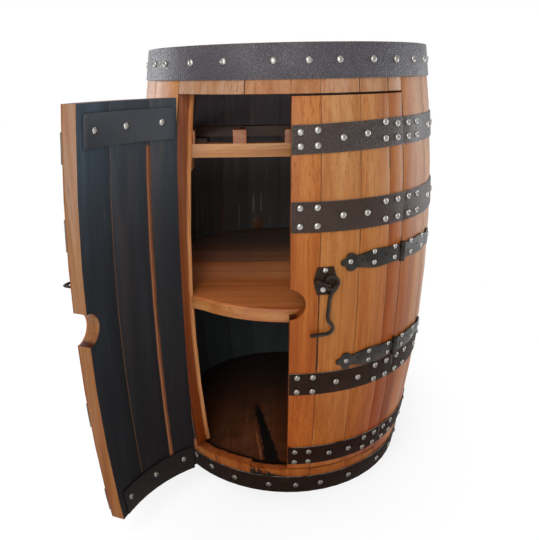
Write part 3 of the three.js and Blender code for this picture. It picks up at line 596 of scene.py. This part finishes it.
# ---- heads, shelf, rack and stops: planed oak boards
boards = {
    "shelfWidth": 0.101, "shelfStart": 0.0025, "headWidth": 0.092, "headStart": 0.031, "seam": 0.0007,
    "shelf": (0.92, (1.0, 0.82, 0.8)), "stop": (1.2, (1.0, 1.04, 1.2)), "head": (0.2, (0.98, 0.8, 1.0)),
    "topHead": (0.95, (1.0, 1.0, 1.0)), "shelfEdgeShade": (0.82, 1.02, 0.94), "second": (1.12, 1.26, 1.6),
    "thirdBoardShade": (0.6, 0.74, 1.0), "back": (0.58, 0.82, 1.15), "leftSideLight": (1.75, 1.65, 1.8),
    "rack": (0.88, (0.96, 1.12, 1.32)), "block": (0.64, 0.46, 0.36), "rackBack": (0.03, 0.022, 0.017),
    "blockFoot": 0.73, "uneven": (0.7, 0.62, 0.55), "arris": (0.62, 0.3, 0.15), "openSeam": (0.03, 0.013, 0.008),
    "bump": (0.3, 0.0006), "easing": 0.0008, "rackEasing": 0.001,
}


def boardMaterial(name, seed, along, width, start, look, stain=None, coat=0.15, foremost=-9.0):
    # boards edge to edge, their grain along X, Y or Z, each with its own tone
    material, surface = newMaterial(name, Coat_Weight=coat, Coat_Roughness=0.3, Specular_IOR_Level=0.3,
                                    Roughness=oak["roughness"] + 0.06)
    place = mapped(coords(), Location=-axis)
    x, y, z = parts(place)
    run, across, other = {"X": (x, y, z), "Y": (y, x, z), "Z": (z, x, y)}[along]
    turned = put("CombineXYZ", {0: across, 1: other, 2: run}).outputs[0]
    count = calc("DIVIDE", plus(calc("MAXIMUM", across, foremost), start + width * 8), width)
    board = calc("FLOOR", count)
    shift = put("CombineXYZ", {0: times(board, 3.7), 1: 0.0, 2: times(board, 1.9)}).outputs[0]
    grainPlace = put("VectorMath", {0: turned, 1: shift}, operation="ADD").outputs[0]
    wood, height = oakGrain(grainPlace, seed, look[0], look[1])
    tone = put("TexWhiteNoise", {"W": board}, noise_dimensions="1D").outputs["Value"]
    wood = tinted(times(tone, 0.25), wood, boards["uneven"])
    within = calc("FRACT", count)
    seamGap = times(calc("MINIMUM", within, minus(1.0, within)), width)
    seam = times(fade(seamGap, boards["seam"] * 1.4, boards["seam"] * 0.4), 0.8)
    wood = mix(seam, wood, oak["line"])
    if stain:
        wood = stain(place, wood)
    wire(surface, minus(height, times(seam, 3.0)), boards["bump"], Base_Color=wood)
    return material


floorStain = {
    "x": -0.046, "y": -0.14, "slant": -0.17, "front": 0.0175, "back": 0.005, "reach": 0.125,
    "soot": (0.018, 0.008, 0.005), "wallSoot": (0.03, 0.024, 0.022), "worn": (0.3, 0.105, 0.04),
    "scratch": (0.3, 0.09, 0.025), "streak": (0.005, 0.004, 0.004),
}


def floorSoot(place, wood):
    # soot over the whole floor, deeper at the wall, and one long dark streak that widens towards the doors
    x, y, z = parts(place)
    mottled = noise(place, 22.0, 4, 0.6)
    wood = mix(times(fade(mottled, 0.42, 0.66), 0.5), wood, floorStain["soot"])
    wood = mix(times(fade(y, -0.1, 0.2), 0.8), wood, floorStain["wallSoot"])
    ahead = minus(y, floorStain["y"])
    aside = minus(x, plus(floorStain["x"], times(ahead, floorStain["slant"])))
    ragged = times(minus(noise(place, 75.0, 4, 0.65), 0.5), 0.022)
    half = spread(ahead, floorStain["reach"], -floorStain["reach"], floorStain["back"], floorStain["front"])
    beyond = minus(plus(unsigned(aside), ragged), half)
    core = fade(beyond, 0.0015, -0.0015)
    beside = plus(plus(aside, half), plus(0.0075, times(ragged, 0.6)))
    worn = times(fade(unsigned(beside), 0.0032, 0.0008), fade(ahead, 0.03, -0.03))
    wood = mix(times(worn, 0.6), wood, floorStain["worn"])
    ends = fade(unsigned(ahead), floorStain["reach"], floorStain["reach"] - 0.03)
    slanted = mapped(place, Rotation=(0, 0, 0.35), Scale=(240, 22, 10))
    scratches = times(fade(noise(slanted, 1.0, 2, 0.6), 0.62, 0.7),
                      fade(unsigned(plus(aside, 0.024)), 0.018, 0.004))
    wood = mix(times(scratches, times(ends, 0.8)), wood, floorStain["scratch"])
    return mix(times(core, ends), wood, floorStain["streak"])


def shelfTones(place, wood):
    # the second board is painted lighter and the third board and the back are painted darker, as painted light and
    # shade inside the barrel; a pale worn arris at the first seam
    x, y, z = parts(place)
    wood = tinted(fade(y, -0.1042, -0.1028), wood, boards["second"])
    wood = tinted(fade(y, -0.0032, -0.0018), wood, boards["thirdBoardShade"])
    arris = fade(unsigned(plus(y, 0.1055)), 0.0022, 0.0008)
    wood = mix(times(arris, 0.55), wood, boards["arris"])
    wood = mix(fade(unsigned(plus(y, 0.0025)), 0.0022, 0.0008), wood, boards["openSeam"])
    wood = tinted(fade(y, 0.05, 0.16), wood, boards["back"])
    # painted light: the left back of the shelf is lightened against the shadow of the jamb
    paler = times(fade(x, -0.08, -0.19), fade(y, -0.19, -0.03))
    wood = tinted(paler, wood, boards["leftSideLight"])
    # painted shade: the shelf's upright edges are toned apart from its top
    up = parts(coords("Normal"))[2]
    return tinted(fade(unsigned(up), 0.7, 0.3), wood, boards["shelfEdgeShade"])


def rackTones(place, wood):
    # the blocks are redder than the rail they stand on, and painted shade darkens the back rail in the dark
    x, y, z = parts(place)
    wood = tinted(fade(z, boards["blockFoot"] - 0.0005, boards["blockFoot"] + 0.0005), wood, boards["block"])
    return mix(times(fade(y, -0.17, 0.05), 0.8), wood, boards["rackBack"])


dress("middle_shelf",
      boardMaterial("shelf_boards", 61, "X", boards["shelfWidth"], boards["shelfStart"], boards["shelf"], shelfTones,
                    foremost=-0.15),
      boards["easing"])
dress("bottom_head",
      boardMaterial("floor_boards", 67, "Y", boards["headWidth"], boards["headStart"], boards["head"], floorSoot, 0.0),
      boards["easing"])
dress("top_head",
      boardMaterial("head_boards", 71, "X", boards["headWidth"], boards["headStart"], boards["topHead"]),
      boards["easing"])
dress("bottle_rack", boardMaterial("rack_oak", 73, "X", 2.0, 0.9, boards["rack"], rackTones),
      boards["rackEasing"])
for side, seed in (("left", 79), ("right", 83)):
    dress(side + "_door_stop", boardMaterial(side + "_stop_oak", seed, "Z", 2.0, 0.9, boards["stop"], coat=0.0),
          boards["rackEasing"])
print("boards dressed")

# ---- hoops and inner bands: hammered steel under lacquer, grey on top and browner down the barrel, where the tones also paint a reflection of the sky on the top ones and deeper shade on the lower ones
# Each look: deep tone, worn tone, gloss, roughness
hoopTonesShadeAndReflection = {
    "top": ((0.043, 0.038, 0.045), (0.078, 0.071, 0.083), 0.31, 0.34),
    "upper_quarter": ((0.026, 0.016, 0.013), (0.055, 0.038, 0.032), 0.34, 0.42),
    "upper_bilge": ((0.022, 0.011, 0.007), (0.044, 0.026, 0.018), 0.24, 0.46),
    "lower_bilge": ((0.011, 0.0042, 0.0018), (0.024, 0.01, 0.005), 0.07, 0.52),
    "lower_quarter": ((0.009, 0.0022, 0.0008), (0.02, 0.006, 0.0028), 0.04, 0.55),
    "bottom": ((0.008, 0.0028, 0.0013), (0.018, 0.008, 0.0046), 0.04, 0.55),
    "inner_top": ((0.028, 0.031, 0.038), (0.04, 0.044, 0.053), 0.35, 0.38),
    "inner_bottom": ((0.0075, 0.005, 0.0045), (0.014, 0.0092, 0.0085), 0.07, 0.48),
}
hoopSteel = {"bare": (0.2, 0.18, 0.165), "rust": (0.06, 0.026, 0.014), "easing": 0.0006, "bump": (0.9, 0.0009),
             "innerBump": (0.18, 0.0009)}


def hoopMaterial(name, seed, look, onLeftDoor=False):
    deep, worn, gloss, rough = hoopTonesShadeAndReflection[look]
    material, surface = newMaterial(name, Specular_IOR_Level=gloss)
    at = barrelSpace(onLeftDoor)
    place = at.place
    speck = noise(place, 420.0, 3, 0.65, 0.3)
    patch = noise(place, 17.0 + seed, 4, 0.6)
    colour = mix(fade(speck, 0.42, 0.72), deep, worn)
    inner = look.startswith("inner")
    share = 0.12 if inner or look == "top" else 0.35
    colour = mix(times(fade(patch, 0.52, 0.75), share), colour, mix(0.6, colour, hoopSteel["rust"]))
    # the cut edges are paler, partly lacquer rubbed off and partly a painted highlight
    rubbedEdgeAndHighlight = fade(unsigned(at.inward), 0.75, 0.35)
    if not inner:
        colour = mix(times(rubbedEdgeAndHighlight, times(fade(patch, 0.35, 0.55), 0.8)), colour, hoopSteel["bare"])
    # the lacquer has wrinkled into small cells
    wrinkle = put("TexVoronoi", {"Vector": place, "Scale": 190.0, "Randomness": 1.0},
                  feature="DISTANCE_TO_EDGE").outputs["Distance"]
    height = plus(times(speck, 0.6), times(fade(wrinkle, 0.0, 0.25), 0.7))
    height = times(height, plus(0.35, fade(noise(place, 6.0 + seed * 0.1, 2, 0.5), 0.44, 0.58)))
    wire(surface, height, hoopSteel["innerBump" if inner else "bump"], Base_Color=colour,
         Roughness=spread(patch, 0.0, 1.0, rough - 0.08, rough + 0.12))
    return material


bandNames = ["upper_quarter", "upper_bilge", "lower_bilge", "lower_quarter"]
lacquers = {look: hoopMaterial(look + "_lacquer", seed + 1, look) for seed, look in enumerate(hoopTonesShadeAndReflection)}


def dressHoop(name, lacquer):
    dress(name, lacquer, hoopSteel["easing"])


for end in ("top", "bottom"):
    dressHoop(end + "_hoop", lacquers[end])
    dressHoop(f"right_door_inner_{end}_band", lacquers["inner_" + end])
    dressHoop(f"left_door_inner_{end}_band", hoopMaterial(f"left_inner_{end}_lacquer", 9, "inner_" + end, True))
for band in bandNames:
    dressHoop(band + "_wall_hoop", lacquers[band])
    dressHoop(f"right_door_{band}_hoop", lacquers[band])
    dressHoop(f"left_door_{band}_hoop", hoopMaterial(f"left_{band}_lacquer", 5, band, True))
print("hoops dressed")

# ---- black ironwork: hinges, latch, hook and catch
# Each look: deep tone, worn tone, roughness
ironLook = {
    "strap": ((0.011, 0.009, 0.007), (0.033, 0.025, 0.019), 0.4),
    "latch": ((0.011, 0.0037, 0.001), (0.034, 0.014, 0.005), 0.42),
    "hook": ((0.01, 0.006, 0.004), (0.036, 0.023, 0.015), 0.38),
}
blackIron = {"metallic": 0.1, "gloss": 0.21, "bump": (0.4, 0.0005), "easing": 0.0004, "strapEasing": 0.0005}


def ironMaterial(look, seed):
    black, worn, rough = ironLook[look]
    material, surface = newMaterial(look + "_iron", Metallic=blackIron["metallic"], Specular_IOR_Level=blackIron["gloss"])
    place = coords()
    speck = noise(place, 380.0, 3, 0.6)
    patch = noise(place, 46.0 + seed, 4, 0.6)
    colour = mix(times(fade(patch, 0.4, 0.7), 0.8), black, worn)
    wire(surface, plus(speck, patch), blackIron["bump"], Base_Color=colour,
         Roughness=spread(speck, 0.0, 1.0, rough - 0.1, rough + 0.15))
    return material


# Screws and empty holes in the straps, as read off the right-hand door: (azimuth, height)
straps = {
    "upper_door": {"screws": [(19.9, 0.5325), (28.9, 0.5446), (28.9, 0.5244), (38.2, 0.5455), (38.2, 0.5244)],
                   "holes": [(24.4, 0.5315), (33.9, 0.5348)]},
    "upper_wall": {"screws": [(47.5, 0.5454), (47.5, 0.5235), (56.4, 0.5446), (56.4, 0.524), (65.2, 0.533)],
                   "holes": [(52.0, 0.534), (60.8, 0.532)]},
    "lower_door": {"screws": [(20.2, 0.3308), (29.4, 0.3415), (29.4, 0.3217), (38.8, 0.3423), (38.8, 0.3227)],
                   "holes": [(24.7, 0.333), (34.3, 0.331)]},
    "lower_wall": {"screws": [(47.2, 0.3444), (47.2, 0.3239), (56.2, 0.3425), (56.2, 0.322), (65.0, 0.331)],
                   "holes": [(51.8, 0.333), (60.6, 0.3315)]},
    "holeRadius": 0.0021, "holeDepth": 0.012, "face": 0.004, "screwSize": 0.8, "screwLift": 0.0036,
}


def drill(piece, places, onLeftDoor):
    # countersunk holes left empty in a strap
    bits = []
    for azimuth, z in places:
        bit = added(bpy.ops.mesh.primitive_cone_add, vertices=12, radius1=straps["holeRadius"] * 0.4,
                    radius2=straps["holeRadius"] * 1.6, depth=straps["holeDepth"])
        bit.data.transform(seatOn(azimuth, z, straps["face"], onLeftDoor=onLeftDoor))
        bits.append(bit)
    tool = joinAll(bits, "strap_drill")
    applyModifier(piece, "BOOLEAN", operation="DIFFERENCE", object=tool, solver="EXACT")
    bpy.data.objects.remove(tool)


strapLook, latchLook, hookLook = ironMaterial("strap", 1), ironMaterial("latch", 2), ironMaterial("hook", 3)
for side, sign in sides:
    for level in ("upper", "lower"):
        for part in ("wall", "door"):
            leaf = dress(f"{side}_{level}_hinge_{part}_leaf", strapLook, blackIron["strapEasing"])
            places = [(sign * azimuth, z) for azimuth, z in straps[f"{level}_{part}"]["holes"]]
            drill(leaf, places, side == "left" and part == "door")
dress("catch_plate_and_staple", latchLook, blackIron["easing"])

# The plate is widest at half height. The hook hangs a little to the right of its staple: each drift is
# a height below the pivot, then how far to the right and up. Below its eye it is stouter by so much.
latch = {"azimuth": 11.6, "z": 0.5, "side": 0.0186, "waist": 1.06, "shoulder": 0.89, "reach": 0.012,
         "drift": [(0.02, 0.0048, 0.003), (-0.008, 0.0048, 0.003), (-0.014, 0.005, 0.0022), (-0.028, 0.006, 0.0),
                   (-0.055, 0.0086, 0.0), (-0.12, 0.009, 0.0)],
         "stout": 0.0004, "stoutBelow": 0.018}
turn = math.radians(latch["azimuth"])
toRight = Vector((math.cos(turn), math.sin(turn), 0))
plate = dress("latch_plate_and_staple", latchLook, blackIron["easing"])
cutLevel(plate, latch["z"])
for corner in plate.data.vertices:
    aside = (corner.co - axis).dot(toRight)
    if abs(aside) > latch["side"]:
        away = min(abs(corner.co.z - latch["z"]) / latch["reach"], 1)
        corner.co += toRight * aside * (latch["waist"] + (latch["shoulder"] - latch["waist"]) * away - 1)
hook = dress("latch_hook", hookLook, 0)
pivot = Vector(joints["hook_swing"]["pos_m"])
for corner in hook.data.vertices:
    below = corner.co.z - pivot.z
    corner.co += corner.normal * latch["stout"] * min(max((-latch["stoutBelow"] - below) / 0.01, 0), 1)
    for (upper, acrossA, upA), (lower, acrossB, upB) in zip(latch["drift"], latch["drift"][1:]):
        if lower <= below <= upper:
            share = (upper - below) / (upper - lower)
            corner.co += toRight * (acrossA + (acrossB - acrossA) * share) + Vector((0, 0, upA + (upB - upA) * share))
            break
print("ironwork dressed")

# ---- screws: dome heads with a hexagon socket
screw = {
    "radius": 0.0061, "height": 0.003, "skirt": 0.0022, "socketDepth": 0.0016, "sides": 12,
    "dull": (0.27, 0.25, 0.22), "bright": (0.52, 0.5, 0.47), "low": (0.5, 0.48, 0.45), "roughness": 0.3,
    "lift": 0.0027, "latchSize": 0.85, "latchLift": 0.0026, "flushLift": 0.00185, "flushHeight": 0.17, "bandLift": 0.0033,
}


def screwMaster():
    # half a ball of radius 1 with a skirt, its top ring filled and sunk as the socket, then scaled to size
    head = added(bpy.ops.mesh.primitive_uv_sphere_add, segments=screw["sides"], ring_count=8, radius=1.0)
    head.name = "screw_master"
    cutLevel(head, 0, clear_inner=True, use_fill=True)
    pickFaces(head, lambda centre, normal: normal.z < -0.9)
    bpy.ops.mesh.extrude_region_move(TRANSFORM_OT_translate={"value": (0, 0, -screw["skirt"] / screw["height"])})
    pickFaces(head, lambda centre, normal: centre.z > 0.9)
    bpy.ops.mesh.delete(type="FACE")
    setMode("OBJECT")
    for edge in head.data.edges:
        ends = [head.data.vertices[index].co for index in edge.vertices]
        edge.select = all(end.z > 0.9 for end in ends)
    setMode("EDIT")
    bpy.ops.mesh.select_mode(type="EDGE")
    bpy.ops.mesh.fill()
    bpy.ops.mesh.dissolve_limited(angle_limit=math.radians(1))
    pickFaces(head, lambda centre, normal: centre.z > 0.9 and normal.z > 0.9)
    bpy.ops.mesh.extrude_region_move(TRANSFORM_OT_translate={"value": (0, 0, -screw["socketDepth"] / screw["height"])})
    setMode("OBJECT")
    head.data.transform(Matrix.Diagonal((screw["radius"], screw["radius"], screw["height"], 1)))
    smooth(head, 40)
    return head


screwSteel, surface = newMaterial("screw_steel", Metallic=1.0, Roughness=screw["roughness"])
place = coords()
tarnish = ramp(noise(place, 700.0, 3, 0.6), [(0.35, screw["dull"]), (0.65, screw["bright"])])
# painted shade: the screws lower down the barrel are toned darker
lower = fade(parts(place)[2], 0.55, 0.05)
link(tinted(lower, tarnish, screw["low"]), surface.inputs["Base Color"])
master = screwMaster()
master.data.materials.append(screwSteel)
draw = random.Random(7)


def screws(name, body, places, size=1.0, onLeftDoor=False, inside=False, lift=screw["lift"], flat=1.0):
    heads = []
    for azimuth, z in places:
        place = seatOn(azimuth, z, -lift if inside else lift, inside, onLeftDoor, draw.uniform(0, 60))
        heads.append(copyAt(master, place @ Matrix.Diagonal((size, size, size * flat, 1)), name))
    piece = joinAll(heads, name)
    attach(piece, body)


# Places as read off the photograph in front; the rows go on round the back at the same pitch
rows = {
    "topFront": [(-60.6, 0.8722), (-51.4, 0.8722), (-36.5, 0.872), (-23.1, 0.8724), (-5.9, 0.8722), (5.7, 0.872),
                 (16.2, 0.8723), (29.0, 0.8722), (39.8, 0.872), (51.0, 0.8722), (62.4, 0.8722), (71.8, 0.8722)],
    "bottomFront": [(-44.2, 0.035), (-34.8, 0.028), (-22.9, 0.0232), (-7.6, 0.0232), (4.0, 0.023), (14.8, 0.0234),
                    (28.5, 0.0232), (46.5, 0.0232)],
    "topLevel": 0.8722, "bottomLevel": 0.0232, "topLast": 284, "bottomLast": 306, "pitch": 12.2,
    "doorPairs": [3.0, 8.5, 33.2, 39.0], "doorSingles": [17.0, 25.7], "wallPairs": [45.1, 51.0], "wallFirst": 62.5,
    "wallLast": 300,
    "levels": {"upper_quarter": (0.742, 0.7655), "upper_bilge": (0.6018, 0.6335), "lower_bilge": (0.2705, 0.303),
               "lower_quarter": (0.0935, 0.1205)},
    "hung": {"right_upper_quarter": {3.0: (-0.0055, -0.0055), 8.5: (-0.0045, -0.0025), 17.0: (-0.0043, -0.0043),
                                     33.2: (0.0005, 0.004)},
             "right_lower_quarter": {3.0: (-0.002, -0.002), 8.5: (-0.002, -0.002)}},
}


def jitter(amount):
    return draw.uniform(-amount, amount)


for end in ("top", "bottom"):
    places = list(rows[end + "Front"])
    azimuth = places[-1][0] + rows["pitch"]
    while azimuth < rows[end + "Last"]:
        places.append((azimuth + jitter(0.8), rows[end + "Level"] + jitter(0.001)))
        azimuth += rows["pitch"]
    screws(end + "_hoop_screws", "carcass", places)
for band in bandNames:
    low, high = rows["levels"][band]
    middle = (low + high) / 2
    for side, sign in sides:
        hung = rows["hung"].get(f"{side}_{band}", {})
        places = [(sign * azimuth, z + hung.get(azimuth, (0, 0))[row] + jitter(0.0006))
                  for azimuth in rows["doorPairs"] for row, z in enumerate((low, high))]
        places += [(sign * azimuth, middle + hung.get(azimuth, (0, 0))[0] + jitter(0.001))
                   for azimuth in rows["doorSingles"]]
        screws(f"{side}_door_{band}_screws", side + "_door", places, onLeftDoor=side == "left")
    places = [(sign * azimuth, z) for azimuth in rows["wallPairs"] for z in (low, high) for sign in (-1, 1)]
    azimuth = rows["wallFirst"]
    while azimuth < rows["wallLast"]:
        places.append((azimuth + jitter(0.7), middle + jitter(0.0012)))
        azimuth += rows["pitch"]
    screws(f"{band}_wall_screws", "carcass", places)
innerRows = {"top": [(8.3, 0.776), (22.0, 0.7775), (36.4, 0.7785)], "bottom": [(6.7, 0.099), (21.7, 0.1), (36.2, 0.1)]}
for side, sign in sides:
    for end, row in innerRows.items():
        places = [(sign * azimuth, z) for azimuth, z in row]
        screws(f"{side}_door_inner_{end}_screws", side + "_door", places, onLeftDoor=side == "left", inside=True,
               lift=screw["bandLift"])
    for level in ("upper", "lower"):
        for part, body in (("door", side + "_door"), ("wall", "carcass")):
            places = [(sign * azimuth, z) for azimuth, z in straps[f"{level}_{part}"]["screws"]]
            opened = side == "left" and part == "door"
            screws(f"{side}_{level}_{part}_strap_screws", body, places, straps["screwSize"], opened,
                   lift=straps["screwLift"])
screws("latch_plate_screw", "right_door", [(11.4, 0.5206)], screw["latchSize"], lift=screw["latchLift"])
# the lower head is nearly flush, so that the hook's eye swings clear of it
screws("latch_plate_flush_screw", "right_door", [(10.9, 0.4836)], screw["latchSize"], lift=screw["flushLift"],
       flat=screw["flushHeight"])
bpy.data.objects.remove(master)
print("screws placed")

# ---- bung: a turned plug in the back wall, level with the shelf
bung = {"azimuth": -167.6, "z": 0.4465, "radius": 0.018, "outside": 0.0012, "inside": 0.0015,
        "tone": (0.22, (1.0, 1.0, 1.35)), "easing": 0.001}
length = barrel["wall"] + bung["outside"] + bung["inside"]
plug = added(bpy.ops.mesh.primitive_cylinder_add, vertices=40, radius=bung["radius"], depth=length)
plug.name = "bung"
plug.data.transform(Matrix.Translation((0, 0, bung["outside"] - length / 2)))
plug.data.transform(seatOn(bung["azimuth"], bung["z"]))
ease(plug, bung["easing"], 40)
smooth(plug, finish["smoothBelow"])
plug.data.materials.append(boardMaterial("bung_oak", 89, "Z", 2.0, 0.9, bung["tone"], coat=0.0))
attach(plug, "carcass")

# ---- laps: each hoop's two ends are riveted one over the other at the back
lap = {"azimuth": 176.0, "half": 6.5, "thickness": 0.0022, "inset": 0.0012, "rivetRadius": 0.004,
       "rivetHeight": 0.0016, "apart": 3.4, "lift": 0.0022, "easing": 0.0006, "step": 4.0}


def addLap(node, look, turn):
    # the overlapping end, cut from a ring that follows the barrel, and two rivets through it
    low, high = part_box(node)
    bottom, top = low.z + lap["inset"], high.z - lap["inset"]
    piece = added(bpy.ops.mesh.primitive_grid_add, x_subdivisions=10, y_subdivisions=2, size=1.0)
    piece.name = node.replace("_hoop", "_lap")
    for corner in piece.data.vertices:
        azimuth = turn + corner.co.x * 2 * lap["half"]
        z = bottom + (corner.co.y + 0.5) * (top - bottom)
        corner.co = seatOn(azimuth, z, lap["lift"]).translation
    applyModifier(piece, "SOLIDIFY", thickness=lap["thickness"], offset=1.0)
    ease(piece, lap["easing"], 40)
    rivets = []
    for azimuth in (turn - lap["apart"], turn + lap["apart"]):
        rivet = added(bpy.ops.mesh.primitive_uv_sphere_add, segments=14, ring_count=8, radius=1.0)
        flattened = Matrix.Diagonal((lap["rivetRadius"], lap["rivetRadius"], lap["rivetHeight"], 1))
        rivet.data.transform(seatOn(azimuth, (bottom + top) / 2, lap["lift"] + lap["thickness"]) @ flattened)
        rivets.append(rivet)
    joinAll([piece] + rivets, piece.name)
    smooth(piece, finish["smoothBelow"])
    piece.data.materials.clear()
    piece.data.materials.append(look)
    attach(piece, "carcass")


hooped = [("top_hoop", "top"), ("bottom_hoop", "bottom")] + [(band + "_wall_hoop", band) for band in bandNames]
for index, (node, look) in enumerate(hooped):
    addLap(node, lacquers[look], lap["azimuth"] + (index % 3 - 1) * lap["step"])
print("bung and laps made")

# ---- floor, light and camera
studio = {"floorSize": 14.0, "floorZ": -0.0005, "floorWhite": 0.7, "floorColour": (0.93, 0.93, 0.93), "near": 0.45,
          "far": 1.15, "world": 0.72, "worldColour": (0.95, 0.97, 1.0)}
floor = added(bpy.ops.mesh.primitive_plane_add, size=studio["floorSize"], location=(0, 0, studio["floorZ"]))
floor.name = "studio_floor"
floorLook, surface = newMaterial("studio_floor_paint", Roughness=0.9, Base_Color=(*studio["floorColour"], 1))
paths = put("LightPath")
# near the barrel the floor keeps its shadow, further off it fades into white
away = put("VectorMath", {0: coords()}, operation="LENGTH").outputs["Value"]
white = plus(studio["floorWhite"], times(fade(away, studio["near"], studio["far"]), 1 - studio["floorWhite"]))
seen = times(paths.outputs["Is Camera Ray"], white)
glow = put("Emission")
blend = put("MixShader", {0: seen, 1: surface.outputs[0], 2: glow.outputs[0]})
link(blend.outputs[0], floorLook.node_tree.nodes["Material Output"].inputs["Surface"])
floor.data.materials.append(floorLook)

world = bpy.data.worlds.new("studio_world")
scene.world = world
world.use_nodes = True
shader["tree"] = world.node_tree
background = world.node_tree.nodes["Background"]
background.inputs["Color"].default_value = (*studio["worldColour"], 1)
background.inputs["Strength"].default_value = studio["world"]
paths = put("LightPath")
white = put("Background", {"Color": (1, 1, 1)})
seen = calc("MAXIMUM", paths.outputs["Is Camera Ray"], paths.outputs["Is Transmission Ray"])
blend = put("MixShader", {0: seen, 1: background.outputs[0], 2: white.outputs[0]})
link(blend.outputs[0], world.node_tree.nodes["World Output"].inputs["Surface"])

# Each lamp: place, aim, size, power, colour
lamps = {
    "key": ((-0.9, -2.3, 2.5), (0, 0, 0.45), 1.8, 44, (1.0, 0.97, 0.93)),
    "fill": ((-0.25, -1.9, 0.95), (0, 0, 0.45), 0.9, 9, (1.0, 0.98, 0.96)),
    "side": ((2.3, 0.75, 0.75), (0.25, 0, 0.55), 1.5, 20, (0.95, 0.98, 1.0)),
    "left": ((-2.0, 1.15, 1.0), (-0.2, 0, 0.75), 1.3, 24, (0.95, 0.98, 1.0)),
    "top": ((0.2, 0.6, 3.0), (0, 0, 0.8), 2.0, 16, (1.0, 1.0, 1.0)),
}
for name, (place, aim, size, power, colour) in lamps.items():
    light = bpy.data.lights.new(name + "_softbox", "AREA")
    light.size = size
    light.energy = power
    light.color = colour
    holder = bpy.data.objects.new(name + "_softbox", light)
    scene.collection.objects.link(holder)
    holder.location = place
    holder.rotation_euler = (Vector(aim) - Vector(place)).to_track_quat("-Z", "Y").to_euler()

view = {"fromAxis": (-0.04613, -1.22262, 0.85484), "turn": (70.7371, 1.0196, 2.153), "lens": 36.2303,
        "shift": (0.052587, -0.014847)}
eye = bpy.data.objects.new("photo_camera", bpy.data.cameras.new("photo_camera"))
scene.collection.objects.link(eye)
eye.location = axis + Vector(view["fromAxis"])
eye.rotation_euler = [math.radians(angle) for angle in view["turn"]]
eye.data.sensor_fit = "HORIZONTAL"
eye.data.sensor_width = 36
eye.data.lens = view["lens"]
eye.data.shift_x, eye.data.shift_y = view["shift"]
scene.camera = eye
scene.view_settings.view_transform = "Standard"
print("studio set")
